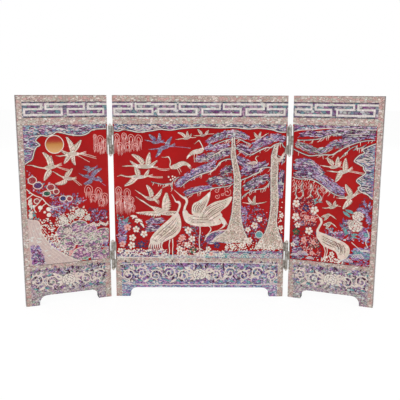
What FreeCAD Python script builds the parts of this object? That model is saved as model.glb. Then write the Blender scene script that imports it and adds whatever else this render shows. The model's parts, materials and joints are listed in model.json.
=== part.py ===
import FreeCAD, Part
import os
import Sketcher

# Three-panel tabletop folding screen.
#
# A centre panel and two wings, each a lacquered board on bracket feet. Thin skins of shell and
# lacquer are glued to the front of each board, shell bands cover its top and the outer edges of
# the wings, and a raised fret of pale shell runs across its head. Each wing hangs on two small
# butt hinges with finial tips, whose barrels stand just in front of the gap, so that the wings
# close on the front of the centre panel like a pair of cabinet doors.
#
# Frame: +Z up, floor at Z 0, fronts towards -Y, origin under the middle of the bounding box.
# Every panel is drawn in a frame of its own: X across it, Y 0 on the line of the hinge axes.

SIZES = [  # alias, value in mm or degrees, meaning
    ("centre_width", 176.0, "width of the centre panel"),
    ("panel_height", 210.0, "height of every panel"),
    ("board_thickness", 9.4, "wooden board of a panel"),
    ("skin_thickness", 0.6, "shell and lacquer skins on the front of a board"),
    ("panel_gap", 5.0, "space between neighbouring panels when they lie in line"),
    ("meeting_gap", 2.4, "space between the outer edges of the closed wings"),
    ("wing_angle", 21.6, "how far each wing is swung forward of the centre panel"),
    ("axis_offset", 1.0, "hinge axis in front of the panel faces"),
    ("edge_band_thickness", 0.5, "shell bands on the top and outer edges"),
    ("edge_band_chamfer", 0.3, "bevel along the bands' long edges"),
    ("back_chamfer", 0.6, "bevel round the back of a board"),
    ("skin_foot_setback", 0.2, "skins and bands stop this far above the floor"),
    ("top_border_height", 5.7, "shell border along the head"),
    ("fret_band_height", 15.3, "dark shell ground behind the fret"),
    ("rail_border_height", 7.0, "shell border under the fret"),
    ("lower_border_height", 4.7, "shell border under the picture"),
    ("apron_height", 37.3, "top of the apron above the floor"),
    ("stile_border_width", 4.8, "shell border down the outer side of a wing"),
    ("foot_border_width", 6.0, "shell border beside the apron"),
    ("arch_height", 10.0, "opening between the feet"),
    ("arch_radius", 8.0, "rounded upper corners of that opening"),
    ("centre_foot_width", 14.5, "foot of the centre panel"),
    ("wing_foot_width", 13.3, "foot of a wing"),
    ("fret_relief", 0.3, "fret strip above its ground"),
    ("fret_strip", 1.9, "width of the fret strip"),
    ("fret_low_level", 2.7, "lowest run of the fret above the ground's lower edge"),
    ("fret_mid_level", 8.2, "middle runs"),
    ("fret_top_level", 12.8, "highest run"),
    ("fret_low_start", 2.2, "left end of a low run, from the start of its unit"),
    ("fret_low_end", 3.6, "right end of a low run, from the end of its unit"),
    ("fret_break_left", 2.4, "left side of the break in the top run, from mid unit"),
    ("fret_break_right", 1.6, "right side of that break"),
    ("upper_hinge_height", 165.5, "middle of the upper hinges"),
    ("lower_hinge_height", 45.5, "middle of the lower hinges"),
    ("barrel_length", 28.2, "hinge barrel without its finials"),
    ("barrel_radius", 1.7, "hinge barrel"),
    ("knuckle_gap", 0.1, "between neighbouring knuckles"),
    ("pin_radius", 0.75, "hinge pin"),
    ("pin_clearance", 0.05, "between pin and knuckle, on the radius"),
    ("finial_radius", 1.85, "collar of a finial"),
    ("finial_collar", 0.7, "height of that collar"),
    ("finial_taper", 1.3, "height of the cone above the collar"),
    ("finial_tip_radius", 0.6, "ball at the end of a finial"),
    ("leaf_thickness", 0.9, "hinge leaf"),
    ("leaf_back_margin", 2.0, "between the leaf's back edge and the back of the panel"),
    ("leaf_front_gap", 0.15, "leaf's front edge behind the axis"),
    ("leaf_recess", 0.1, "leaf below the edge of the board"),
    ("web_thickness", 0.9, "web between leaf and knuckle"),
    ("web_start", 1.0, "where the web starts inside the knuckle, from the axis"),
    ("mortise_clearance", 0.1, "round the ends and back of a leaf"),
    ("screw_spacing", 17.0, "between the two screws of a leaf"),
    ("screw_back_margin", 3.8, "screws in front of the leaf's back edge"),
    ("screw_head_radius", 1.4, "countersunk head"),
    ("screw_head_height", 0.7, "countersunk head"),
    ("screw_shank_radius", 0.7, "shank"),
    ("screw_length", 7.0, "whole screw with its point"),
    ("screw_point", 1.2, "cone at its end"),
    ("screw_clearance", 0.02, "round a screw, on the radius"),
    ("slot_width", 0.4, "driver slot in a head"),
    ("slot_depth", 0.3, "driver slot in a head"),
]
COUNTS = {"centre": 4, "left_wing": 2, "right_wing": 2}  # fret units on each panel

# Places worked out from the sizes, as expressions.
PANEL_DEPTH = "(sizes.board_thickness + sizes.skin_thickness)"
WING_WIDTH = "((sizes.centre_width - sizes.meeting_gap) / 2)"
WING_REACH = f"(sizes.panel_gap / 2 + {WING_WIDTH})"
AXIS_X = "((sizes.centre_width + sizes.panel_gap) / 2)"
TIP_FORWARD = (
    f"({WING_REACH} * sin(sizes.wing_angle) - sizes.axis_offset * cos(sizes.wing_angle))"
)
AXIS_Y = f"(({TIP_FORWARD} - sizes.axis_offset - {PANEL_DEPTH}) / 2)"
CORE_FRONT = "(sizes.axis_offset + sizes.skin_thickness)"
CORE_TOP = "(sizes.panel_height - sizes.edge_band_thickness)"
TOP_BORDER_LOW = f"({CORE_TOP} - sizes.top_border_height)"
FRET_LOW = f"({TOP_BORDER_LOW} - sizes.fret_band_height)"
RAIL_LOW = f"({FRET_LOW} - sizes.rail_border_height)"
FIELD_LOW = "(sizes.apron_height + sizes.lower_border_height)"
WING_CORE = f"({WING_WIDTH} - sizes.edge_band_thickness)"
WING_FIELD = f"({WING_CORE} - sizes.stile_border_width)"
LEAF_INNER = "(sizes.panel_gap / 2 + sizes.leaf_recess)"
LEAF_OUTER = f"({LEAF_INNER} + sizes.leaf_thickness)"
MORTISE_DEPTH = "(sizes.leaf_recess + sizes.leaf_thickness)"
LEAF_BACK = f"(sizes.axis_offset + {PANEL_DEPTH} - sizes.leaf_back_margin)"
SCREW_Y = f"({LEAF_BACK} - sizes.screw_back_margin)"
HINGE_HEIGHTS = {"upper": "sizes.upper_hinge_height", "lower": "sizes.lower_hinge_height"}
OVERSHOOT = "1"  # how far a cutting sketch runs past the edge that it opens
NEAR = 1e-4

doc = FreeCAD.newDocument("folding_screen")
sheet = doc.addObject("Spreadsheet::Sheet", "sizes")
for row, (alias, value, meaning) in enumerate(SIZES, start=1):
    sheet.set(f"A{row}", meaning)
    sheet.set(f"B{row}", str(value))
    sheet.setAlias(f"B{row}", alias)
doc.recompute()
nodes = []


def worth(expression):
    """The present value of an expression."""
    return float(sheet.evalExpression(expression))


class Panel:
    """One panel's place: side is -1 for the left wing, 0 for the centre and 1 for the right wing."""

    def __init__(self, name, side):
        self.name = name
        self.side = side
        self.width = WING_WIDTH if side else "sizes.centre_width"
        self.core_width = WING_CORE if side else "sizes.centre_width"
        self.field_width = WING_FIELD if side else "sizes.centre_width"
        self.foot_width = "sizes.wing_foot_width" if side else "sizes.centre_foot_width"

    def across(self, distance):
        """X of a point this far from the hinge edge of a wing, or from the centre's left edge."""
        if self.side == 0:
            return f"({distance} - sizes.centre_width / 2)"
        return f"({self.side} * (sizes.panel_gap / 2 + {distance}))"

    def hinge_edges(self):
        """X of each edge that carries hinges, with the direction into the board."""
        if self.side:
            return [(self.across("0"), self.side)]
        return [(self.across("0"), 1), (self.across("sizes.centre_width"), -1)]

    def place(self, node):
        """Puts a node that is drawn in the panel's frame where the panel stands."""
        if self.side:
            node.setExpression("Placement.Base.x", f"{self.side} * {AXIS_X}")
            node.setExpression("Placement.Rotation.Angle", f"{-self.side} * sizes.wing_angle")
        node.setExpression("Placement.Base.y", AXIS_Y)


CENTRE = Panel("centre", 0)
LEFT = Panel("left_wing", -1)
RIGHT = Panel("right_wing", 1)
PANELS = [CENTRE, LEFT, RIGHT]


# ---------------------------------------------------------------- sketches and features


def new_body(label):
    body = doc.addObject("PartDesign::Body", label)
    body.Label = label
    nodes.append(body)
    return body


def new_sketch(body, plane, offset):
    """A sketch on one of the body's origin planes. Offset is the plane's X or Y."""
    sketch = body.newObject("Sketcher::SketchObject", f"{body.Label}_sketch")
    support = [f for f in body.Origin.OriginFeatures if f.Role == plane][0]
    sketch.AttachmentSupport = [(support, "")]
    sketch.MapMode = "FlatFace"
    facing = -1 if plane == "XZ_Plane" else 1
    sketch.setExpression("AttachmentOffset.Base.z", f"{facing} * {offset}")
    return sketch


def bind(sketch, kind, geometry, point, expression):
    """Holds a point's distance from the sketch's origin, or a circle's radius, to an expression."""
    value = worth(expression)
    if kind == "Radius":
        constraint = Sketcher.Constraint(kind, geometry, value)
    else:
        constraint = Sketcher.Constraint(kind, -1, 1, geometry, point, value)
    index = sketch.addConstraint(constraint)
    sketch.setExpression(f"Constraints[{index}]", expression)


def outline(body, loops, offset, plane="XZ_Plane"):
    """A sketch of closed polygons, every corner bound to its two expressions."""
    sketch = new_sketch(body, plane, offset)
    for corners in loops:
        places = [FreeCAD.Vector(worth(a), worth(b), 0) for a, b in corners]
        first = sketch.GeometryCount
        count = len(corners)
        for i in range(count):
            sketch.addGeometry(Part.LineSegment(places[i], places[(i + 1) % count]))
        for i in range(count):
            following = first + (i + 1) % count
            sketch.addConstraint(Sketcher.Constraint("Coincident", first + i, 2, following, 1))
        for i, (a, b) in enumerate(corners):
            bind(sketch, "DistanceX", first + i, 1, a)
            bind(sketch, "DistanceY", first + i, 1, b)
    return sketch


def rounds(body, centres, radius, offset):
    """A sketch of equal circles, seen along X."""
    sketch = new_sketch(body, "YZ_Plane", offset)
    for a, b in centres:
        middle = FreeCAD.Vector(worth(a), worth(b), 0)
        circle = sketch.addGeometry(Part.Circle(middle, FreeCAD.Vector(0, 0, 1), worth(radius)))
        bind(sketch, "DistanceX", circle, 3, a)
        bind(sketch, "DistanceY", circle, 3, b)
        bind(sketch, "Radius", circle, 0, radius)
    return sketch


def pad(body, sketch, length):
    """Adds material from a front view sketch towards the back."""
    feature = body.newObject("PartDesign::Pad", f"{body.Label}_pad")
    feature.Profile = sketch
    feature.Reversed = True
    feature.setExpression("Length", length)
    sketch.Visibility = False
    return feature


def pocket(body, sketch, length, turned=False):
    """Cuts from a sketch against its normal, or along it if turned, and checks that it cut."""
    doc.recompute()
    before = body.Shape.Volume
    feature = body.newObject("PartDesign::Pocket", f"{body.Label}_pocket")
    feature.Profile = sketch
    feature.Reversed = turned
    feature.setExpression("Length", length)
    doc.recompute()
    if body.Shape.Volume > before - NEAR:
        raise RuntimeError(f"{body.Label}: a pocket cut nothing")
    return feature


def dress(body, kind, size, wanted):
    """A fillet or chamfer on the edges that pass a test."""
    doc.recompute()
    base = body.Tip
    names = [f"Edge{i}" for i, edge in enumerate(base.Shape.Edges, start=1) if wanted(edge)]
    feature = body.newObject(f"PartDesign::{kind}", f"{body.Label}_{kind.lower()}")
    feature.Base = (base, names)
    feature.setExpression("Radius" if kind == "Fillet" else "Size", size)


def lies_at(edge, axis, expression):
    """Whether both ends of an edge have this X, Y or Z."""
    return all(abs(getattr(v, axis) - worth(expression)) < NEAR for v in edge.Vertexes)


def is_level(edge, axis):
    """Whether both ends of an edge have the same X, Y or Z."""
    return abs(getattr(edge.Vertexes[0], axis) - getattr(edge.Vertexes[-1], axis)) < NEAR


def rectangle(panel, left, right, low, high):
    """Corners of an upright rectangle between two distances across a panel."""
    a = panel.across(left)
    b = panel.across(right)
    return [(a, low), (b, low), (b, high), (a, high)]


# ---------------------------------------------------------------- boards and skins


def cut_arch(body, panel):
    """The opening between the feet, with its upper corners rounded."""
    far_side = f"({panel.width} - {panel.foot_width})"
    loop = rectangle(panel, panel.foot_width, far_side, f"-{OVERSHOOT}", "sizes.arch_height")
    pocket(body, outline(body, [loop], "0"), f"({CORE_FRONT} + sizes.board_thickness)")

    def upper_corner(edge):
        return lies_at(edge, "Z", "sizes.arch_height") and is_level(edge, "X")

    dress(body, "Fillet", "sizes.arch_radius", upper_corner)


def cut_mortises(body, panel):
    """Notches for the hinge leaves, open to the front and to the edge of the panel."""
    half = "(sizes.barrel_length / 2 + sizes.mortise_clearance)"
    loops = []
    for edge, inward in panel.hinge_edges():
        outside = f"({edge} - {inward} * {OVERSHOOT})"
        inside = f"({edge} + {inward} * {MORTISE_DEPTH})"
        for height in HINGE_HEIGHTS.values():
            low = f"({height} - {half})"
            high = f"({height} + {half})"
            loops.append([(outside, low), (inside, low), (inside, high), (outside, high)])
    pocket(body, outline(body, loops, "0"), f"({LEAF_BACK} + sizes.mortise_clearance)")


def drill_pilot_holes(body, panel):
    """Blind holes for the hinge screws, from the bottom of each mortise."""
    depth = f"(sizes.screw_length + sizes.leaf_recess - {MORTISE_DEPTH})"
    for edge, inward in panel.hinge_edges():
        bottom = f"({edge} + {inward} * {MORTISE_DEPTH})"
        radius = "(sizes.screw_shank_radius + sizes.screw_clearance)"
        holes = rounds(body, screw_places(), radius, bottom)
        pocket(body, holes, depth, turned=inward > 0)


def screw_places():
    """Y and Z of the screws along one hinge edge."""
    return [
        (SCREW_Y, f"({height} + {end} * sizes.screw_spacing / 2)")
        for height in HINGE_HEIGHTS.values()
        for end in (-1, 1)
    ]


def core_board(panel):
    """The wooden board that carries everything else on a panel."""
    body = new_body(f"{panel.name}_core_board")
    loop = rectangle(panel, "0", panel.core_width, "0", CORE_TOP)
    pad(body, outline(body, [loop], CORE_FRONT), "sizes.board_thickness")
    cut_arch(body, panel)
    cut_mortises(body, panel)
    drill_pilot_holes(body, panel)

    def bare_back_edge(edge):
        banded = panel.side and lies_at(edge, "X", panel.across(panel.core_width))
        banded = banded or lies_at(edge, "Z", CORE_TOP)
        return lies_at(edge, "Y", f"sizes.axis_offset + {PANEL_DEPTH}") and not banded

    dress(body, "Chamfer", "sizes.back_chamfer", bare_back_edge)
    panel.place(body)


def skin(panel, label, corners):
    """A thin plate on the front of a board. Corners are distances across and heights."""
    body = new_body(f"{panel.name}_{label}")
    loop = [(panel.across(a), z) for a, z in corners]
    pad(body, outline(body, [loop], "sizes.axis_offset"), "sizes.skin_thickness")
    panel.place(body)
    return body


def strip(panel, label, left, right, low, high):
    return skin(panel, label, [(left, low), (right, low), (right, high), (left, high)])


def head_skins(panel):
    """The border along the head, mitred at a wing's outer corner, the fret ground and the rail."""
    mitre = panel.core_width
    field = panel.field_width
    head = [("0", TOP_BORDER_LOW), (field, TOP_BORDER_LOW), (mitre, CORE_TOP), ("0", CORE_TOP)]
    skin(panel, "top_border", head)
    strip(panel, "fret_ground", "0", field, FRET_LOW, TOP_BORDER_LOW)
    strip(panel, "rail_border", "0", field, RAIL_LOW, FRET_LOW)


def picture_skins(panel):
    """The lacquered picture field and the border under it."""
    field = strip(panel, "picture_field", "0", panel.field_width, FIELD_LOW, RAIL_LOW)
    cut_mortises(field, panel)
    border = strip(
        panel, "lower_border", "0", panel.field_width, "sizes.apron_height", FIELD_LOW
    )
    cut_mortises(border, panel)


def foot_skins(panel):
    """The arched apron between its upright borders."""
    low = "sizes.skin_foot_setback"
    high = "sizes.apron_height"
    width = "sizes.foot_border_width"
    if panel.side:
        right = panel.field_width
        borders = {"foot_border": ("0", width)}
    else:
        right = f"({panel.width} - {width})"
        borders = {"left_foot_border": ("0", width), "right_foot_border": (right, panel.width)}
    apron = strip(panel, "apron", width, right, low, high)
    cut_arch(apron, panel)
    for label, (inner, outer) in borders.items():
        cut_mortises(strip(panel, label, inner, outer, low, high), panel)


def stile_skin(panel):
    """The border down the outer side of a wing, mitred under its top corner."""
    low = "sizes.skin_foot_setback"
    inner = panel.field_width
    outer = panel.core_width
    corners = [(inner, low), (outer, low), (outer, CORE_TOP), (inner, TOP_BORDER_LOW)]
    skin(panel, "stile_border", corners)


def top_band(panel):
    """The shell band on a panel's top edge, bevelled front and back."""
    body = new_body(f"{panel.name}_top_edge_band")
    loop = rectangle(panel, "0", panel.width, CORE_TOP, "sizes.panel_height")
    pad(body, outline(body, [loop], "sizes.axis_offset"), PANEL_DEPTH)

    def long_top_edge(edge):
        return lies_at(edge, "Z", "sizes.panel_height") and is_level(edge, "Y")

    dress(body, "Chamfer", "sizes.edge_band_chamfer", long_top_edge)
    panel.place(body)


def outer_band(panel):
    """The shell band down a wing's outer edge, bevelled front and back."""
    body = new_body(f"{panel.name}_outer_edge_band")
    loop = rectangle(
        panel, panel.core_width, panel.width, "sizes.skin_foot_setback", CORE_TOP
    )
    pad(body, outline(body, [loop], "sizes.axis_offset"), PANEL_DEPTH)

    def upright_outer_edge(edge):
        return lies_at(edge, "X", panel.across(panel.width)) and is_level(edge, "Y")

    dress(body, "Chamfer", "sizes.edge_band_chamfer", upright_outer_edge)
    panel.place(body)


def fret_outline(start, pitch):
    """One unit of the running fret: its strip doubles back twice and ends where the next starts."""
    top = f"({FRET_LOW} + sizes.fret_top_level)"
    mid = f"({FRET_LOW} + sizes.fret_mid_level)"
    low = f"({FRET_LOW} + sizes.fret_low_level)"
    first = "sizes.fret_low_start"
    left = f"({pitch} / 2 - sizes.fret_break_left)"
    right = f"({pitch} / 2 + sizes.fret_break_right)"
    last = f"({pitch} - sizes.fret_low_end)"
    path = [("0", top), (left, top), (left, mid), (first, mid), (first, low)]
    path += [(last, low), (last, mid), (right, mid), (right, top), (pitch, top)]
    turns = [(1, 0), (0, -1), (-1, 0), (0, -1), (1, 0), (0, 1), (-1, 0), (0, 1), (1, 0)]
    sides = {1: [], -1: []}
    for i, (x, z) in enumerate(path):
        before = turns[max(i - 1, 0)]
        after = turns[min(i, len(turns) - 1)]
        bend = {before, after}
        for side, corners in sides.items():
            step_x = side * sum(-dz for _, dz in bend)
            step_z = side * sum(dx for dx, _ in bend)
            corners.append(
                (
                    f"({start} + {x} + {step_x} * sizes.fret_strip / 2)",
                    f"({z} + {step_z} * sizes.fret_strip / 2)",
                )
            )
    return sides[1] + sides[-1][::-1]


def fret_key(panel):
    """The raised fret strip: one unit, repeated along the panel."""
    body = new_body(f"{panel.name}_fret_key")
    count = COUNTS[panel.name]
    start = panel.across(panel.field_width) if panel.side < 0 else panel.across("0")
    pitch = f"({panel.field_width} / {count})"
    front = "(sizes.axis_offset - sizes.fret_relief)"
    unit = pad(body, outline(body, [fret_outline(start, pitch)], front), "sizes.fret_relief")
    doc.recompute()
    row = body.newObject("PartDesign::LinearPattern", f"{body.Label}_row")
    row.Originals = [unit]
    along = [f for f in body.Origin.OriginFeatures if f.Role == "X_Axis"][0]
    row.Direction = (along, [""])
    row.Occurrences = count
    row.setExpression("Length", f"{pitch} * {count - 1}")
    body.Tip = row
    panel.place(body)


# ---------------------------------------------------------------- hinges


def box(low, high):
    """A box between two corners given as expressions."""
    solid = doc.addObject("Part::Box", "block")
    for axis, edge, a, b in zip("xyz", ("Length", "Width", "Height"), low, high):
        solid.setExpression(edge, f"{b} - {a}")
        solid.setExpression(f"Placement.Base.{axis}", a)
    return solid


def drum(kind, start, height, turn=0, **radii):
    """A cylinder or cone from a start point, upright, or along +X or -X if turn is 1 or -1."""
    solid = doc.addObject(f"Part::{kind}", kind.lower())
    solid.Placement.Rotation = FreeCAD.Rotation(FreeCAD.Vector(0, 1, 0), 90 * turn)
    for axis, place in zip("xyz", start):
        solid.setExpression(f"Placement.Base.{axis}", place)
    solid.setExpression("Height", height)
    for name, radius in radii.items():
        solid.setExpression(name, radius)
    return solid


def joined(shapes, label="group"):
    fuse = doc.addObject("Part::MultiFuse", label)
    fuse.Shapes = shapes
    return fuse


def without(base, tool, label):
    cut = doc.addObject("Part::Cut", label)
    cut.Label = label
    cut.Base = base
    cut.Tool = tool
    nodes.append(cut)
    return cut


def block_beside_axis(side, near, far, low_y, high_y, low_z, high_z):
    """A box between two distances from the hinge axis, on one side of it."""
    a, b = (near, far) if side > 0 else (f"-{far}", f"-{near}")
    return box((a, low_y, low_z), (b, high_y, high_z))


def leaf_knuckles(height, on_centre):
    """Lowest and highest Z of a leaf's knuckles: the outer two on the centre, the middle on a wing."""
    half = "sizes.barrel_length / 2"
    inner = "sizes.barrel_length / 6"
    gap = "sizes.knuckle_gap / 2"
    if on_centre:
        return [
            (f"({height} - {half})", f"({height} - {inner} - {gap})"),
            (f"({height} + {inner} + {gap})", f"({height} + {half})"),
        ]
    return [(f"({height} - {inner} + {gap})", f"({height} + {inner} - {gap})")]


def screw_bore(side, height, end, axis_x="0", spare="0"):
    """Head and shank of one screw, or with spare clearance the hole that it fills in a leaf."""
    z = f"({height} + {end} * sizes.screw_spacing / 2)"
    top = f"({axis_x} + {side} * {LEAF_INNER})"
    neck = f"({axis_x} + {side} * ({LEAF_INNER} + sizes.screw_head_height))"
    shank = f"(sizes.screw_shank_radius + {spare})"
    head = drum(
        "Cone",
        (top, SCREW_Y, z),
        "sizes.screw_head_height",
        side,
        Radius1=f"sizes.screw_head_radius + {spare}",
        Radius2=shank,
    )
    length = "(sizes.screw_length - sizes.screw_head_height - sizes.screw_point)"
    body = drum("Cylinder", (neck, SCREW_Y, z), length, side, Radius=shank)
    return [head, body]


def hinge_leaf(panel, hinge, side, level):
    """Leaf, web and knuckles of one half of a butt hinge, bored for its pin and screws."""
    height = HINGE_HEIGHTS[level]
    low = f"({height} - sizes.barrel_length / 2)"
    high = f"({height} + sizes.barrel_length / 2)"
    front = "sizes.leaf_front_gap"
    web_back = "(sizes.leaf_front_gap + sizes.web_thickness)"
    solids = [
        block_beside_axis(side, LEAF_INNER, LEAF_OUTER, front, LEAF_BACK, low, high)
    ]
    for bottom, top in leaf_knuckles(height, panel is CENTRE):
        web = ("sizes.web_start", LEAF_OUTER, front, web_back, bottom, top)
        solids.append(block_beside_axis(side, *web))
        tall = f"{top} - {bottom}"
        solids.append(drum("Cylinder", ("0", "0", bottom), tall, Radius="sizes.barrel_radius"))
    bore = "(sizes.pin_radius + sizes.pin_clearance)"
    holes = [drum("Cylinder", ("0", "0", low), f"{high} - {low}", Radius=bore)]
    for end in (-1, 1):
        holes += screw_bore(side, height, end, spare="sizes.screw_clearance")
    half = "centre" if panel is CENTRE else "wing"
    leaf = without(joined(solids), joined(holes), f"{hinge}_{level}_hinge_{half}_leaf")
    if panel is CENTRE:
        leaf.setExpression("Placement.Base.x", f"{-side} * {AXIS_X}")
        leaf.setExpression("Placement.Base.y", AXIS_Y)
    else:
        panel.place(leaf)


def hinge_pin(hinge, hinge_side, level):
    """The pin, riveted over at both ends into turned finials."""
    height = HINGE_HEIGHTS[level]
    half = "sizes.barrel_length / 2"
    low = f"({height} - {half})"
    solids = [
        drum("Cylinder", ("0", "0", low), "sizes.barrel_length", Radius="sizes.pin_radius")
    ]
    for end in (-1, 1):
        collar = f"({height} + {end} * {half})"
        taper = f"({collar} + {end} * sizes.finial_collar)"
        tip = f"({taper} + {end} * sizes.finial_taper)"
        bottom = collar if end > 0 else taper
        radii = {"Radius1": "sizes.finial_radius", "Radius2": "sizes.finial_tip_radius"}
        if end < 0:
            radii = {"Radius1": radii["Radius2"], "Radius2": radii["Radius1"]}
        cone_low = taper if end > 0 else tip
        solids.append(
            drum("Cylinder", ("0", "0", bottom), "sizes.finial_collar", Radius="sizes.finial_radius")
        )
        solids.append(drum("Cone", ("0", "0", cone_low), "sizes.finial_taper", **radii))
        ball = doc.addObject("Part::Sphere", "ball")
        ball.setExpression("Radius", "sizes.finial_tip_radius")
        ball.setExpression("Placement.Base.z", tip)
        solids.append(ball)
    pin = joined(solids)
    pin.Label = f"{hinge}_{level}_hinge_pin"
    pin.setExpression("Placement.Base.x", f"{hinge_side} * {AXIS_X}")
    pin.setExpression("Placement.Base.y", AXIS_Y)
    nodes.append(pin)


def hinge_screws(panel, label, rows):
    """All the screws of a panel. Rows are the hinge axes that they belong to, with their side."""
    screws = []
    slots = []
    for axis_x, side in rows:
        for height in HINGE_HEIGHTS.values():
            for end in (-1, 1):
                screws.append(one_screw(side, height, end, axis_x))
                slots.append(driver_slot(side, height, end, axis_x))
    node = without(joined(screws), joined(slots), label)
    panel.place(node)


def one_screw(side, height, end, axis_x):
    z = f"({height} + {end} * sizes.screw_spacing / 2)"
    point = f"({axis_x} + {side} * ({LEAF_INNER} + sizes.screw_length - sizes.screw_point))"
    tip = drum(
        "Cone",
        (point, SCREW_Y, z),
        "sizes.screw_point",
        side,
        Radius1="sizes.screw_shank_radius",
        Radius2="0.1",
    )
    return joined([*screw_bore(side, height, end, axis_x), tip], "screw")


def driver_slot(side, height, end, axis_x):
    z = f"({height} + {end} * sizes.screw_spacing / 2)"
    half = "sizes.slot_width / 2"
    reach = f"(sizes.screw_head_radius + {OVERSHOOT})"
    face = f"({axis_x} + {side} * {LEAF_INNER})"
    bottom = f"({face} + {side} * sizes.slot_depth)"
    outside = f"({face} - {side} * {OVERSHOOT})"
    a, b = (outside, bottom) if side > 0 else (bottom, outside)
    low = (a, f"({SCREW_Y} - {reach})", f"({z} - {half})")
    high = (b, f"({SCREW_Y} + {reach})", f"({z} + {half})")
    return box(low, high)


# ---------------------------------------------------------------- the screen


for screen_panel in PANELS:
    core_board(screen_panel)
    head_skins(screen_panel)
    picture_skins(screen_panel)
    foot_skins(screen_panel)
    fret_key(screen_panel)
    top_band(screen_panel)
    if screen_panel.side:
        stile_skin(screen_panel)
        outer_band(screen_panel)

for wing, side_name in ((LEFT, "left"), (RIGHT, "right")):
    for hinge_level in HINGE_HEIGHTS:
        hinge_leaf(CENTRE, side_name, -wing.side, hinge_level)
        hinge_leaf(wing, side_name, wing.side, hinge_level)
        hinge_pin(side_name, wing.side, hinge_level)
    hinge_screws(wing, f"{wing.name}_hinge_screws", [("0", wing.side)])
hinge_screws(CENTRE, "centre_hinge_screws", [(f"-{AXIS_X}", 1), (AXIS_X, -1)])

doc.recompute()
for item in doc.Objects:
    if "Invalid" in item.State or "Error" in item.State:
        raise RuntimeError(f"{item.Label} failed: {item.State}")
for node in nodes:
    if node.Shape.isNull() or not node.Shape.isValid() or not node.Shape.Solids:
        raise RuntimeError(f"{node.Label} has no valid solid")

os.makedirs("parts", exist_ok=True)
for node in nodes:
    node.Shape.exportStep(f"parts/{node.Label}.step")
print(f"{len(nodes)} nodes")
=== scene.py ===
import json
import math
import random
import bpy
from mathutils import Matrix, Vector


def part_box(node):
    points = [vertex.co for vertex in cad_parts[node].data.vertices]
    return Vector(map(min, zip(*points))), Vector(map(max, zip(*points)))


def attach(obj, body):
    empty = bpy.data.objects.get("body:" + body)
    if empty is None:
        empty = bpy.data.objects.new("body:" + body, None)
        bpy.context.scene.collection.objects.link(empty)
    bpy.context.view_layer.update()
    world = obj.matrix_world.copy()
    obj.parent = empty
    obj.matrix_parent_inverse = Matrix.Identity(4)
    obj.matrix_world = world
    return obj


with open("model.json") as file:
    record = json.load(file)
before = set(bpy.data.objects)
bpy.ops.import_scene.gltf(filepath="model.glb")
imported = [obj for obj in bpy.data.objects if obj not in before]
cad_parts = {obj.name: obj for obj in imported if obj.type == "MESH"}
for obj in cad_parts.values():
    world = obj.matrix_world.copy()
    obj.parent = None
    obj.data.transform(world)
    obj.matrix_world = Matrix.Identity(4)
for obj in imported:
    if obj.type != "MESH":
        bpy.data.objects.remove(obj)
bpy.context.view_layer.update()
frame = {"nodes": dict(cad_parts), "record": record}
nodes = frame["nodes"]
MM = 0.001
scene = bpy.context.scene

# ------------------------------------------------------------------ core boards
# Three wooden boards under many rubbed coats of black lacquer. Their backs, hinge edges, feet
# and arches stay bare lacquer; everything else is glued to the fronts and edges.


def tint(red, green, blue):
    """A colour as it looks on a screen, 0 to 255, in the renderer's linear values."""
    return tuple(
        c / 12.92 if c <= 0.04045 else ((c + 0.055) / 1.055) ** 2.4
        for c in (red / 255, green / 255, blue / 255)
    ) + (1.0,)


def new_group(name, inputs, outputs):
    """An empty shader node group with number inputs and the given outputs."""
    group = bpy.data.node_groups.new(name, "ShaderNodeTree")
    for label, default in inputs:
        socket = group.interface.new_socket(label, in_out="INPUT", socket_type="NodeSocketFloat")
        socket.default_value = default
    for label, kind in outputs:
        group.interface.new_socket(label, in_out="OUTPUT", socket_type=f"NodeSocket{kind}")
    return group, group.nodes.new("NodeGroupInput"), group.nodes.new("NodeGroupOutput")


def math_node(tree, operation, a, b=None, clamp=False):
    """A maths node fed by sockets or plain numbers. Returns its output."""
    node = tree.nodes.new("ShaderNodeMath")
    node.operation = operation
    node.use_clamp = clamp
    for socket, value in zip(node.inputs, (a, b)):
        if isinstance(value, bpy.types.NodeSocket):
            tree.links.new(value, socket)
        elif value is not None:
            socket.default_value = value
    return node.outputs[0]


def millimetres(tree):
    """Where a point lies on the piece, in millimetres."""
    place = tree.nodes.new("ShaderNodeTexCoord")
    scale = tree.nodes.new("ShaderNodeVectorMath")
    scale.operation = "SCALE"
    scale.inputs["Scale"].default_value = 1000.0
    tree.links.new(place.outputs["Object"], scale.inputs[0])
    return scale.outputs[0]


def noise(tree, vector, scale, detail=2.0, roughness=0.5):
    node = tree.nodes.new("ShaderNodeTexNoise")
    if isinstance(scale, bpy.types.NodeSocket):
        tree.links.new(scale, node.inputs["Scale"])
    else:
        node.inputs["Scale"].default_value = scale
    node.inputs["Detail"].default_value = detail
    node.inputs["Roughness"].default_value = roughness
    tree.links.new(vector, node.inputs["Vector"])
    return node.outputs["Fac"]


def ramp(tree, value, stops):
    """Colours along a value, from (position, colour) stops."""
    node = tree.nodes.new("ShaderNodeValToRGB")
    node.color_ramp.interpolation = "LINEAR"
    elements = node.color_ramp.elements
    while len(elements) < len(stops):
        elements.new(0.5)
    for element, (position, colour) in zip(elements, stops):
        element.position = position
        element.color = colour
    tree.links.new(value, node.inputs["Fac"])
    return node.outputs["Color"]


def mix(tree, kind, factor, a, b):
    """Two colours blended, each a socket or a plain colour."""
    node = tree.nodes.new("ShaderNodeMix")
    node.data_type = "RGBA"
    node.blend_type = kind
    for label, value in (("Factor", factor), ("A", a), ("B", b)):
        sockets = [s for s in node.inputs if s.name == label and s.enabled]
        if isinstance(value, bpy.types.NodeSocket):
            tree.links.new(value, sockets[0])
        else:
            sockets[0].default_value = value
    return [s for s in node.outputs if s.enabled][0]


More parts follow.
